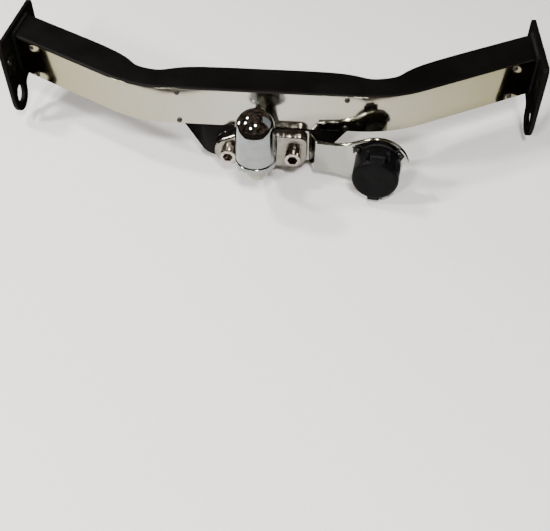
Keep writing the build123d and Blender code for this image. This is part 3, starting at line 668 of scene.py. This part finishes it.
def frame_point(share, half_wide, half_high, corner):
    """A point of a rounded rectangle and the way it faces, by its share of the way round."""
    flats = (2 * (half_high - corner), 2 * (half_wide - corner)) * 2
    reaches = (half_wide, half_high) * 2
    bend = corner * pi / 2
    left = share % 1 * (sum(flats) + 4 * bend)
    for quarter, (flat, reach) in enumerate(zip(flats, reaches)):
        out = Matrix.Rotation(quarter * pi / 2, 2) @ Vector((1, 0))
        on = Vector((-out.y, out.x))
        if left <= flat:
            return out * reach + on * (left - flat / 2), out
        left -= flat
        if left <= bend or quarter == 3:
            facing = Matrix.Rotation(left / corner, 2) @ out
            return out * (reach - corner) + on * flat / 2 + facing * corner, facing
        left -= bend


def bead_section(share, ripple):
    """A weld bead's section: distances from the two plates it joins, round from 0 to 1."""
    if min(share, 1 - share) < BEAD_FLANK / 10:
        return -WELD_CROWN, 0.0
    along = min(max((share - BEAD_FLANK) / (1 - 2 * BEAD_FLANK), 0), 1)
    wave = cos(2 * pi * ripple + RIPPLE_BOW * sin(pi * along))
    crown = WELD_CROWN * (1 + RIPPLE_SWELL * wave) * sin(pi * along)
    return WELD_LEG * along + crown, WELD_LEG * (1 - along) + crown


def plate_weld(side, name, node):
    """Rippled bead all round the tube where it meets an end plate."""
    near, far = tube_point(1, 0)[1], tube_point(1, TUBE)[1]
    half_wide = (far - near) / 2
    ripples = round((2 * half_wide + TUBE) * 2 / WELD_RIPPLE)

    def place(around, section):
        (y, z), facing = frame_point(around, half_wide, HALF, TUBE_CORNER)
        out, off = bead_section(section, around * ripples)
        lean = off * tan(BEND_ANGLE)
        return (side * (PLATE_X - off), (near + far) / 2 + y + facing.x * out - lean,
                z + facing.y * out)

    bead = grid(name, ripples * RIPPLE_STEPS, BEAD_ROWS, place)
    fitted(bead, "hitch", "black_paint", node, angle=BEAD_CRISP)


def seat_bead(name, y, z, leg, rise):
    """Rippled bead along the mounting plate's seat, by its legs behind and below a corner."""
    ripples = round(2 * SEAT_WELD_HALF / WELD_RIPPLE)

    def place(along, section):
        out, off = bead_section(section, along * ripples)
        return ((2 * along - 1) * SEAT_WELD_HALF, y + out * leg / WELD_LEG, z - off * rise / WELD_LEG)

    bead = grid(name, ripples * RIPPLE_STEPS, BEAD_ROWS, place)
    choose(bead, "EDGE", lambda edge: False)
    bpy.ops.mesh.select_non_manifold()
    bpy.ops.mesh.edge_face_add()
    leave()
    fitted(tidied(bead), "hitch", "black_paint", "mounting_plate_welds", angle=BEAD_CRISP)


def seat_beads():
    """Beads behind the seat and over its front edge, where the tube's corner leaves a notch."""
    seat_bead("rear_seat_weld", SEAT_THICK, -HALF, WELD_LEG, WELD_LEG)
    near, far = FRONT_BEAD
    seat_bead("front_seat_weld", far, -HALF, near - far, -FRONT_BEAD_HIGH)


def wing_foot():
    """Lower edge of the mounting plate's right half, from its middle outwards."""
    corners = [(0, SEAT_LOW, 0), *WING_FOOT, (*WING_SIDE, 0), (0, 0, 0)]
    return rounded(corners)[:-1]


def wing_line(run):
    """Plan point of the mounting plate's middle line, and its heading, at a run from the middle."""
    flat = SEAT_HALF - WING_BEND_R * tan(WING_HEADING / 2)
    bend = WING_BEND_R * WING_HEADING
    side = -1 if run < 0 else 1
    run = abs(run)
    turn = min(max(run - flat, 0), bend) / WING_BEND_R
    past = max(run - flat - bend, 0)
    x = min(run, flat) + WING_BEND_R * sin(turn) + past * cos(turn)
    y = SEAT_THICK / 2 + WING_BEND_R * (1 - cos(turn)) + past * sin(turn)
    return side * x, y, side * turn


def mounting_plate():
    """Bent plate under the tube: a flat seat for the neck and two wings swept back."""
    reach = SEAT_HALF + WING_LEG.length + WING_BEND_R * (WING_HEADING - 2 * tan(WING_HEADING / 2))
    foot = wing_foot()
    plate = block("neck_seat_plate", (-1, -1, -1), (1, 1, 1))
    choose(plate, "EDGE", runs_along(plate, 0))
    bpy.ops.mesh.subdivide(number_cuts=SEAT_CUTS)
    leave()
    for vertex in plate.data.vertices:
        x, y, turn = wing_line(vertex.co.x * reach)
        offset = vertex.co.y * SEAT_THICK / 2
        x, y = x - offset * sin(turn), y + offset * cos(turn)
        vertex.co = (x, y, -HALF if vertex.co.z > 0 else between(foot, abs(x)))
    fitted(eased(tidied(plate), *SEAT_EASE), "hitch", "black_paint", "neck_mounting_plate")


def coupling_ball():
    """Polished ball and stem, filleted under the ball and undercut at the foot."""
    reach = BALL_R + BALL_FILLET
    fillet_r = STEM_R + BALL_FILLET
    fillet_z = BALL_Z - sqrt(reach ** 2 - fillet_r ** 2)
    lean = degrees(atan2(BALL_Z - fillet_z, fillet_r))
    flat_r = sqrt(BALL_R ** 2 - (BALL_FLAT_Z - BALL_Z) ** 2)
    top = degrees(atan2(BALL_FLAT_Z - BALL_Z, flat_r))
    foot = NECK_TOP_Z
    profile = [(0, foot - STEM_SUNK), (STEM_R - UNDERCUT, foot - STEM_SUNK),
               (STEM_R - UNDERCUT, foot + UNDERCUT_FROM), (STEM_R, foot + UNDERCUT_TO)]
    profile += arc((fillet_r, fillet_z), BALL_FILLET, 180, 180 - lean)
    profile += arc((0, BALL_Z), BALL_R, -lean, top, 5 * ARC_STEPS)[1:] + [(0, BALL_FLAT_Z)]
    ball = moved(turned("coupling_ball", profile, FINE_SIDES), Matrix.Translation((0, BALL_Y, 0)))
    fitted(eased(ball, *BALL_EASE), "hitch", "polished_forging", "tow_ball_neck")


def forged_neck():
    """Forged flange, bar and elbow, cast in one with softened edges."""
    neck = shape_of("tow_ball_neck", "forged_neck")
    choose(neck, "FACE", everything)
    bpy.ops.mesh.bisect(plane_co=(0, 0, NECK_TOP_Z + TOUCH), plane_no=(0, 0, 1), use_fill=True,
                        clear_outer=True)
    leave()
    fitted(cast(neck, *NECK_CAST), "hitch", "polished_forging", "tow_ball_neck", angle=CAST_CRISP)


def hex_prism(name, flats, low, high):
    """A hexagon bar along Z, by the distance over its flats."""
    prism = rod(name, (0, 0, low), (0, 0, high), flats / 2 / cos(pi / 6), 6)
    return moved(prism, Matrix.Rotation(pi / 6, 4, "Z"))


def neck_bolt(name):
    """Socket head cap screw along Z, tip of the head at height 0."""
    profile = [(0, 0)] + [(BOLT_HEAD_R - inset, down) for inset, down in BOLT_HEAD_ROUND]
    profile += [(BOLT_HEAD_R, BOLT_HEAD_HIGH - BOLT_HEAD_EDGE),
                (BOLT_HEAD_R - BOLT_HEAD_EDGE, BOLT_HEAD_HIGH), (BOLT_R, BOLT_HEAD_HIGH)]
    for turn in range(int((BOLT_LONG - THREAD_FROM) / THREAD_PITCH)):
        start = BOLT_HEAD_HIGH + THREAD_FROM + turn * THREAD_PITCH
        profile += [(BOLT_R, start), (BOLT_R - THREAD_DEEP, start + THREAD_PITCH / 2)]
    end = BOLT_HEAD_HIGH + BOLT_LONG
    profile += [(BOLT_R, end - BOLT_POINT), (BOLT_R - BOLT_POINT, end), (0, end)]
    bolt = turned(name, profile)
    less(bolt, hex_prism("key", HEX_KEY, -OVER, KEY_DEEP))
    return bolt


def hex_nut(name, flats, high, bore):
    """Hexagon nut along Z with turned corners."""
    corner, bite = flats / 2 / cos(pi / 6), NUT_BITE * flats
    rise = bite * NUT_BITE_RISE
    profile = [(bore, NUT_EDGE), (bore + NUT_EDGE, 0), (corner - bite, 0), (corner + NUT_OVER, rise),
               (corner + NUT_OVER, high - rise), (corner - bite, high), (bore + NUT_EDGE, high),
               (bore, high - NUT_EDGE), (bore, NUT_EDGE)]
    hexagon = hex_prism("flats", flats, -OVER, high + OVER)
    return less(turned(name, profile, RING_SIDES), hexagon, "INTERSECT")


def ring(name, inner, outer, high, edge):
    """Flat ring along Z with broken edges."""
    profile = [(inner, 0), (outer - edge, 0), (outer, edge), (outer, high - edge),
               (outer - edge, high), (inner, high), (inner, 0)]
    return turned(name, profile, RING_SIDES)


def neck_fasteners():
    """Bolt, and behind the plate a flat washer, split washer and nut, at each side of the neck."""
    split_from = SEAT_THICK + WASHER_THICK
    split = ring("split", *LOCK_WASHER, LOCK_THICK, LOCK_EDGE)
    inner, outer = SPLIT_SPAN
    slot = block("slot", (-SPLIT_HALF, inner, -OVER), (SPLIT_HALF, outer, LOCK_THICK + OVER))
    less(split, moved(slot, Matrix.Shear("XY", 3, (SPLIT_LEAN, 0)).to_4x4()))
    kinds = (("neck_bolt", "neck_bolts", FLANGE_FRONT - BOLT_HEAD_HIGH, neck_bolt("bolt")),
             ("neck_flat_washer", "neck_flat_washers", SEAT_THICK,
              ring("flat", *FLAT_WASHER, WASHER_THICK, WASHER_EDGE)),
             ("neck_split_washer", "neck_lock_washers", split_from, split),
             ("neck_nut", "neck_nuts", split_from + LOCK_THICK,
              hex_nut("nut", NUT_FLATS, NUT_HIGH, BOLT_R)))
    for title, node, y, first in kinds:
        for side, x in (("left", -BOLT_X), ("right", BOLT_X)):
            piece = moved(copy_of(first, f"{side}_{title}"), forward((x, y, BOLT_Z)))
            fitted(piece, "hitch", "bolt_steel", node, angle=TURNED_CRISP)
        bpy.data.objects.remove(first)


def ball_cap():
    """Thin drawn cap: dome, straight skirt, fine groove and flared rim."""
    inner, sunk = CAP_R - CAP_WALL, CAP_R - CAP_GROOVE_DEEP
    top, low, flare, rim = [CAP_GROOVE_Z - step for step in CAP_GROOVE_STEPS]
    ease = CAP_GROOVE_STEPS[0]
    profile = arc((0, CAP_DOME_Z), CAP_R, 90, 0, 4 * ARC_STEPS)
    profile += [(CAP_R, CAP_GROOVE_Z), (sunk, top), (sunk, low), (CAP_RIM_R - ease, flare),
                (CAP_RIM_R, rim), (CAP_RIM_R, CAP_LOW + CAP_EDGE), (CAP_RIM_R - CAP_EDGE, CAP_LOW),
                (inner + ease, CAP_LOW), (inner, CAP_LOW + CAP_EDGE)]
    profile += arc((0, CAP_DOME_Z), inner, 0, 90, 4 * ARC_STEPS)
    cap = moved(turned("chrome_ball_cap", profile, FINE_SIDES), Matrix.Translation((0, BALL_Y, 0)))
    fitted(cap, "cap", "bright_chrome", "ball_cap", angle=TURNED_CRISP)


def socket_bracket():
    """Polished sheet bracket with its hooded lip, edges eased."""
    bracket = shape_of("socket_bracket", "polished_socket_bracket")
    choose(bracket, "FACE", everything)
    bpy.ops.mesh.dissolve_limited(angle_limit=FLAT_WITHIN)
    leave()
    fitted(eased(bracket, *BRACKET_EASE), "hitch", "polished_bracket", "socket_bracket",
           angle=TURNED_CRISP)


def socket_screws():
    """Three screws through the socket's ears."""
    first = pan_head("socket_screw", *SOCKET_SCREW)
    upright = Matrix.Rotation(radians(90), 4, "X")
    for number, angle in enumerate(EAR_ANGLES, 1):
        x = SOCKET.x + EAR_CIRCLE_R * cos(radians(angle))
        z = SOCKET.z + EAR_CIRCLE_R * sin(radians(angle))
        seat = Matrix.Translation((x, HOUSING_BACK - EAR_THICK, z)) @ upright
        screw = moved(copy_of(first, f"socket_screw_{number}"), with_panel() @ seat)
        fitted(screw, "hitch", "screw_steel", "socket_screws")
    bpy.data.objects.remove(first)


def cable_boot():
    """Rubber boot over the socket's rear spigot, ribbed where it bends."""
    start, collar = PANEL_BACK, SPIGOT_R + BOOT_WALL
    profile = [(SPIGOT_R + BOOT_PLAY, start), (collar - BOOT_EASE, start), (collar, start + BOOT_EASE),
               (collar, start + BOOT_COLLAR - BOOT_EASE), (collar - BOOT_EASE, start + BOOT_COLLAR),
               (SPIGOT_R + BOOT_WAIST[0], start + BOOT_WAIST[1])]
    cone_from, cone_to = start + BOOT_CONE_FROM, BOOT_END - BOOT_CONE_BACK
    wide, taper = BOOT_CONE
    for rib in range(BOOT_RIBS):
        for share, sink in BOOT_RIB:
            along = (rib + share) / BOOT_RIBS
            profile.append((wide - taper * along - sink, cone_from + (cone_to - cone_from) * along))
    lip_r, lip_step = BOOT_LIP
    profile += [(BOOT_NOSE_R, cone_to), (lip_r, cone_to + lip_step), (lip_r, BOOT_END - BOOT_EASE),
                (lip_r - BOOT_EASE, BOOT_END), (BOOT_MOUTH_R + BOOT_MOUTH_EASE, BOOT_END),
                (BOOT_MOUTH_R, BOOT_END - BOOT_MOUTH_EASE), (BOOT_MOUTH_R, BOOT_END - BOOT_MOUTH_DEEP)]
    profile += [(SPIGOT_R + out, start + along) for out, along in BOOT_INSIDE]
    seat = with_panel() @ forward((SOCKET.x, 0, SOCKET.z))
    boot = moved(turned("cable_boot_ribbed", profile), seat)
    fitted(boot, "hitch", "black_rubber", "cable_boot", angle=BOOT_CRISP)


def socket_body():
    """Moulded socket body with eared base, barrel, hinge lugs and bore."""
    body = shape_of("socket_housing", "moulded_socket_body")
    fitted(cast(body, *SOCKET_CAST), "hitch", "black_plastic", "socket_housing", angle=CAST_CRISP)


def socket_lid():
    """Moulded lid with a raised hinge pad, soft rim and pressed centre."""
    lid = shape_of("socket_lid", "moulded_socket_lid")
    fitted(cast(lid, *LID_CAST), "lid", "black_plastic", "socket_lid", angle=CAST_CRISP)


class Field:
    """A number or colour that changes from place to place, which arithmetic joins into nodes."""

    def __init__(self, graph, socket):
        self.graph, self.socket = graph, socket

    def joined(self, operation, first, second=0.0):
        """The sum, product or other result of one or two numbers or fields."""
        return self.graph.node("ShaderNodeMath", {"operation": operation}, {0: first, 1: second})

    def __add__(self, other):
        return self.joined("ADD", self, other)

    def __mul__(self, other):
        return self.joined("MULTIPLY", self, other)

    def __sub__(self, other):
        return self.joined("SUBTRACT", self, other)

    def __rsub__(self, other):
        return self.joined("SUBTRACT", other, self)

    def __pow__(self, other):
        return self.joined("POWER", self, other)

    def __abs__(self):
        return self.joined("ABSOLUTE", self)

    __radd__ = __add__
    __rmul__ = __mul__


def opaque(color):
    """A colour with its alpha, or a field as it is."""
    return (*color, 1) if isinstance(color, tuple) else color


class Graph:
    """A node tree, and the nodes that are added to it."""

    def __init__(self, tree):
        self.tree = tree

    def node(self, kind, settings=(), values=(), out=0):
        """A node of a kind, its settings made first and then its values or links."""
        added = self.tree.nodes.new(kind)
        for key, value in dict(settings).items():
            setattr(added, key, value)
        for key, value in dict(values).items():
            if isinstance(value, Field):
                self.tree.links.new(value.socket, added.inputs[key])
            else:
                added.inputs[key].default_value = value
        return Field(self, added.outputs[out])

    def ramp(self, field, low, high, to_low=0.0, to_high=1.0):
        """A field's stretch from low to high spread over another, and held past its ends."""
        return self.node("ShaderNodeMapRange", {"clamp": True}, {
            "Value": field, "From Min": low, "From Max": high, "To Min": to_low, "To Max": to_high})

    def blend(self, field, first, second):
        """One colour turning into another as a field goes from 0 to 1."""
        return self.node("ShaderNodeMix", {"data_type": "RGBA"}, {
            "Factor": field, MIX_FIRST: opaque(first), MIX_SECOND: opaque(second)}, out=MIX_RESULT)


class Finish(Graph):
    """A surface finish: one principled shader and the nodes that vary it."""

    def __init__(self, name, metallic=0.0, **sockets):
        self.material = bpy.data.materials.new(name)
        self.material.use_nodes = True
        super().__init__(self.material.node_tree)
        self.shader = self.tree.nodes["Principled BSDF"]
        self.shader.inputs["Metallic"].default_value = metallic
        for socket, value in sockets.items():
            self.shader.inputs[socket.replace("_", " ")].default_value = value
        self.place = self.node("ShaderNodeTexCoord", out="Object")

    def along(self, axis):
        """The object coordinate along one axis."""
        return self.node("ShaderNodeSeparateXYZ", values={"Vector": self.place}, out=axis)

    def noise(self, feature, detail=3.0, roughness=0.5, size=None):
        """Noise from 0 to 1, its features about so many metres across, or drawn out by a size."""
        place = self.place
        if size:
            place = self.node("ShaderNodeMapping", values={"Vector": place, "Scale": size})
        return self.node("ShaderNodeTexNoise", out="Fac", values={
            "Vector": place, "Scale": 1 / feature, "Detail": detail, "Roughness": roughness})

    def color(self, field):
        """Base colour all over, or as it changes."""
        self.feed("Base Color", opaque(field))

    def feed(self, socket, field):
        """A value or a field into one of the shader's sockets."""
        if isinstance(field, Field):
            self.tree.links.new(field.socket, self.shader.inputs[socket])
        else:
            self.shader.inputs[socket].default_value = field

    def bump(self, *layers):
        """Relief from fields, each with the height in metres that its whole range stands for."""
        normal = None
        for field, height in layers:
            values = {"Height": field, "Distance": height, "Strength": 1.0}
            if normal:
                values["Normal"] = normal
            normal = self.node("ShaderNodeBump", {}, values)
        self.feed("Normal", normal)


def black_powder_coat():
    """Satin black powder coat: a fine orange peel, a little dust and rubbed patches."""
    coat = Finish("black_powder_coat", Specular_IOR_Level=0.08)
    cloud = coat.noise(0.05, 4.0, 0.6)
    dust = coat.noise(0.004, 5.0, 0.7)
    shade = coat.ramp(cloud + dust * 0.5, 0.55, 1.0)
    coat.color(coat.blend(shade, (0.0010, 0.0010, 0.0011), (0.0026, 0.0025, 0.0023)))
    coat.feed("Roughness", coat.ramp(cloud, 0.3, 0.7, 0.42, 0.55) + dust * 0.06)
    coat.bump((coat.noise(0.0016, 2.0), 0.00006), (coat.noise(0.03, 2.0), 0.0004))
    return coat.material


def polished_sheet(name, tint, ends, waves):
    """Polished stainless sheet: a near mirror with a painted warm reflection towards its ends, fine
    lines and waves.
    """
    sheet = Finish(name, metallic=1.0)
    lines = sheet.noise(0.0009, 3.0, 0.6, size=(0.02, 0.02, 1.0))
    smear = sheet.noise(0.04, 4.0, 0.6)
    # Painted reflection: the sheet turns to its warmer, darker end tint further out along X
    away = sheet.ramp(abs(sheet.along("X")) + smear * 0.1, 0.10, 0.40)
    sheet.color(sheet.blend(away, tint, ends))
    sheet.feed("Roughness", sheet.ramp(smear, 0.3, 0.75, 0.05, 0.11) + lines * 0.05)
    sheet.bump((lines, 0.000004), (sheet.noise(0.09, 1.0), waves))
    return sheet.material


def polished_forging():
    """Forged steel ground and plated: bright, with soft unevenness and warm stains."""
    metal = Finish("polished_forging", metallic=1.0)
    uneven = metal.noise(0.012, 3.0, 0.55)
    stain = metal.noise(0.02, 5.0, 0.65)
    metal.color(metal.blend(metal.ramp(stain, 0.45, 0.75), (0.27, 0.26, 0.23), (0.17, 0.15, 0.12)))
    metal.feed("Roughness", metal.ramp(uneven, 0.3, 0.7, 0.08, 0.17) + metal.noise(0.0012) * 0.04)
    metal.bump((uneven, 0.0011), (metal.noise(0.0015, 2.0), 0.00003))
    return metal.material


def bright_chrome():
    """Bright plate, almost a mirror, with faint handling marks."""
    plate = Finish("bright_chrome", metallic=1.0)
    marks = plate.noise(0.018, 5.0, 0.7)
    shade = plate.ramp(marks, 0.4, 0.75)
    plate.color(plate.blend(shade, (0.26, 0.285, 0.29), (0.215, 0.22, 0.215)))
    plate.feed("Roughness", plate.ramp(marks, 0.35, 0.75, 0.03, 0.09))
    plate.bump((plate.noise(0.03, 1.0), 0.00008))
    return plate.material


def bolt_plating():
    """Bright zinc on turned steel, a little worn, with painted shade down in the bolts' recesses."""
    zinc = Finish("bolt_plating", metallic=1.0)
    worn = zinc.noise(0.005, 5.0, 0.65)
    across, above = abs(zinc.along("X")) - BOLT_X, zinc.along("Z") - BOLT_Z
    behind = zinc.along("Y")
    tip = FLANGE_FRONT - BOLT_HEAD_HIGH
    near, whole = RECESS_SHADE_FROM
    # Painted shade: the plating turns near black inside the hex recess, by radius from each bolt's
    # axis and depth behind the head's tip
    inside = zinc.ramp((across * across + above * above) ** 0.5, *RECESS_SHADE_R, 1.0, 0.0)
    deep = zinc.ramp(behind, tip + near, tip + whole)
    deep = deep * zinc.ramp(behind, tip + KEY_DEEP, tip + RECESS_SHADE_END, 1.0, 0.0)
    plate = zinc.blend(zinc.ramp(worn, 0.4, 0.7), (0.50, 0.46, 0.41), (0.30, 0.26, 0.22))
    zinc.color(zinc.blend(inside * deep, plate, (0.05, 0.042, 0.035)))
    zinc.feed("Roughness", zinc.ramp(worn, 0.3, 0.7, 0.10, 0.20))
    zinc.bump((zinc.noise(0.0008, 2.0), 0.00003))
    return zinc.material


def screw_steel():
    """Small screws' dull, darkened steel."""
    steel = Finish("screw_steel", metallic=1.0)
    worn = steel.noise(0.003, 4.0, 0.6)
    shade = steel.ramp(worn, 0.35, 0.7)
    steel.color(steel.blend(shade, (0.075, 0.07, 0.065), (0.035, 0.033, 0.03)))
    steel.feed("Roughness", steel.ramp(worn, 0.3, 0.7, 0.28, 0.45))
    steel.bump((worn, 0.00004))
    return steel.material


def moulded_plastic():
    """Black moulded plastic: fine grain, sink marks and handling shine."""
    plastic = Finish("moulded_plastic", Specular_IOR_Level=0.05)
    shine = plastic.noise(0.02, 4.0, 0.6)
    shade = plastic.ramp(shine, 0.4, 0.7)
    plastic.color(plastic.blend(shade, (0.0020, 0.0022, 0.0025), (0.0042, 0.0042, 0.0044)))
    plastic.feed("Roughness", plastic.ramp(shine, 0.3, 0.7, 0.30, 0.46))
    plastic.bump((plastic.noise(0.0006, 2.0), 0.00004), (plastic.noise(0.012, 2.0), 0.0003))
    return plastic.material


def soft_rubber():
    """Matt black rubber with a little bloom."""
    rubber = Finish("soft_rubber", Specular_IOR_Level=0.3)
    bloom = rubber.noise(0.008, 5.0, 0.7)
    shade = rubber.ramp(bloom, 0.4, 0.75)
    rubber.color(rubber.blend(shade, (0.012, 0.012, 0.012), (0.032, 0.031, 0.030)))
    rubber.feed("Roughness", rubber.ramp(bloom, 0.3, 0.7, 0.62, 0.82))
    rubber.bump((rubber.noise(0.001, 2.0), 0.00006))
    return rubber.material


def turned_brass():
    """Turned brass, tarnished in places."""
    brass = Finish("turned_brass", metallic=1.0)
    tarnish = brass.noise(0.004, 4.0, 0.6)
    brass.color(brass.blend(brass.ramp(tarnish, 0.4, 0.7), (0.80, 0.58, 0.26), (0.50, 0.34, 0.14)))
    brass.feed("Roughness", brass.ramp(tarnish, 0.3, 0.7, 0.2, 0.4))
    brass.bump((tarnish, 0.00003))
    return brass.material


# A finish for each of the record's material slots. The two sheets have a tint, the tint of their ends,
# which is a painted warm reflection of the room, and the height of their waves.
FINISHES = {
    "black_paint": black_powder_coat(),
    "polished_strip": polished_sheet(
        "polished_strip", (0.43, 0.42, 0.375), (0.30, 0.28, 0.17), 0.0005),
    "polished_bracket": polished_sheet(
        "polished_bracket", (0.41, 0.42, 0.395), (0.38, 0.385, 0.355), 0.0002),
    "polished_forging": polished_forging(),
    "bright_chrome": bright_chrome(),
    "bolt_steel": bolt_plating(),
    "screw_steel": screw_steel(),
    "black_plastic": moulded_plastic(),
    "black_rubber": soft_rubber(),
    "contact_brass": turned_brass(),
}


def dress(piece, slot):
    """Gives a piece the finish of one of the record's material slots."""
    piece.data.materials.clear()
    piece.data.materials.append(FINISHES[slot])
    return piece


def dress_frame():
    """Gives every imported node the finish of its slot."""
    for part in frame["record"]["subparts"]:
        dress(frame["nodes"][part["node"]], part["material_slot"])


def make_camera():
    """The camera that took the photo's upper picture, as fitted to it."""
    camera = bpy.data.objects.new("camera", bpy.data.cameras.new("camera"))
    bpy.context.scene.collection.objects.link(camera)
    ahead = CAMERA_AHEAD.normalized()
    right = (CAMERA_RIGHT - ahead * CAMERA_RIGHT.dot(ahead)).normalized()
    up = right.cross(ahead)
    turn = Matrix((right, up, -ahead)).transposed().to_4x4()
    camera.matrix_world = Matrix.Translation(CAMERA_AT) @ turn
    camera.data.sensor_width = SENSOR
    camera.data.lens = FOCAL_PIXELS * SENSOR / PHOTO_WIDE
    camera.data.clip_start, camera.data.clip_end = CAMERA_CLIP
    bpy.context.scene.camera = camera


def make_floor():
    """A wide pale floor under the hitch."""
    begin()
    bpy.ops.mesh.primitive_circle_add(vertices=SIDES, radius=FLOOR_R, fill_type="NGON",
                                      location=(0, 0, cad_box[0].z))
    floor = made("floor")
    pale = Finish("pale_floor", Specular_IOR_Level=0.1)
    pale.color(FLOOR_PALE)
    pale.feed("Roughness", FLOOR_ROUGH)
    floor.data.materials.append(pale.material)


def make_reflected_shade_cards():
    """Two cards low round the hitch that only mirror-like surfaces see: painted shade in their
    reflections.
    """
    shade_card = Finish("reflected_shade_card", Specular_IOR_Level=0.0)
    shade_card.color(CARD_PAINTED_SHADE)
    shade_card.feed("Roughness", 1.0)
    level = cad_box[0].z + CARD_LIFT
    rim = arc((0, BALL_Y), BRIGHT_R, BRIGHT_ARC - 180, -BRIGHT_ARC, 6 * ARC_STEPS)
    for number, (edge, middle, far) in enumerate((
            (BRIGHT_FRONT, rim, -CARD_REACH), (BRIGHT_REAR, [], CARD_REACH)), 1):
        last = edge[-1][1]
        outer = [(CARD_REACH, last), (CARD_REACH, far), (-CARD_REACH, far), (-CARD_REACH, last)]
        outline = [(-x, y) for x, y in reversed(edge)] + middle + [*edge, *outer]
        card = chain(f"reflected_shade_card_{number}", [(*point, level) for point in outline], closed=True)
        card.data.materials.append(shade_card.material)
        for ray in ("camera", "diffuse", "shadow", "transmission"):
            setattr(card, f"visible_{ray}", False)


def soft_light(name, at, aim, wide, high, power, tint):
    """A rectangular lamp at one place, aimed at another."""
    lamp = bpy.data.lights.new(name, "AREA")
    lamp.shape, lamp.size, lamp.size_y = "RECTANGLE", wide, high
    lamp.energy, lamp.color = power, tint
    placed = bpy.data.objects.new(name, lamp)
    bpy.context.scene.collection.objects.link(placed)
    placed.location = at
    placed.rotation_euler = (Vector(aim) - Vector(at)).to_track_quat("-Z", "Y").to_euler()


def make_world():
    """A dim brown room to every ray but the camera's, which sees a pale background."""
    world = bpy.data.worlds.new("studio")
    bpy.context.scene.world = world
    world.use_nodes = True
    sky = Graph(world.node_tree)
    links, nodes = sky.tree.links, sky.tree.nodes
    place = sky.node("ShaderNodeTexCoord", out="Generated")
    clutter = sky.node("ShaderNodeTexNoise", values={"Vector": place, **CLUTTER}, out="Fac")
    room = sky.blend(sky.ramp(clutter, *CLUTTER_RANGE), *ROOM)
    links.new(room.socket, nodes["Background"].inputs["Color"])
    dim = Field(sky, nodes["Background"].outputs[0])
    pale = sky.node("ShaderNodeBackground", values={"Color": opaque(BACKGROUND)})
    seen = sky.node("ShaderNodeLightPath", out="Is Camera Ray")
    mix = sky.node("ShaderNodeMixShader", values={0: seen, 1: dim, 2: pale})
    links.new(mix.socket, nodes["World Output"].inputs["Surface"])


def make_lights():
    """Soft lamps round the hitch, each placed by its direction from the coupling ball."""
    aim = Vector((0, BALL_Y, BALL_Z))
    for number, (way, away, *kind) in enumerate(LAMPS, 1):
        soft_light(f"lamp_{number}", aim + Vector(way).normalized() * away, aim, *kind)


def make_pieces():
    """All that is modelled here, piece by piece."""
    cross_tube()
    trim_strip()
    trim_screws()
    for side, hand in ((-1, "left"), (1, "right")):
        end_plate(side, f"{hand}_tow_plate", f"{hand}_end_plate")
        plate_weld(side, f"{hand}_weld_bead", f"{hand}_plate_weld")
    mounting_plate()
    seat_beads()
    coupling_ball()
    forged_neck()
    neck_fasteners()
    ball_cap()
    socket_bracket()
    socket_screws()
    cable_boot()
    socket_body()
    socket_lid()


dress_frame()
make_pieces()
make_floor()
make_reflected_shade_cards()
make_world()
make_lights()
make_camera()
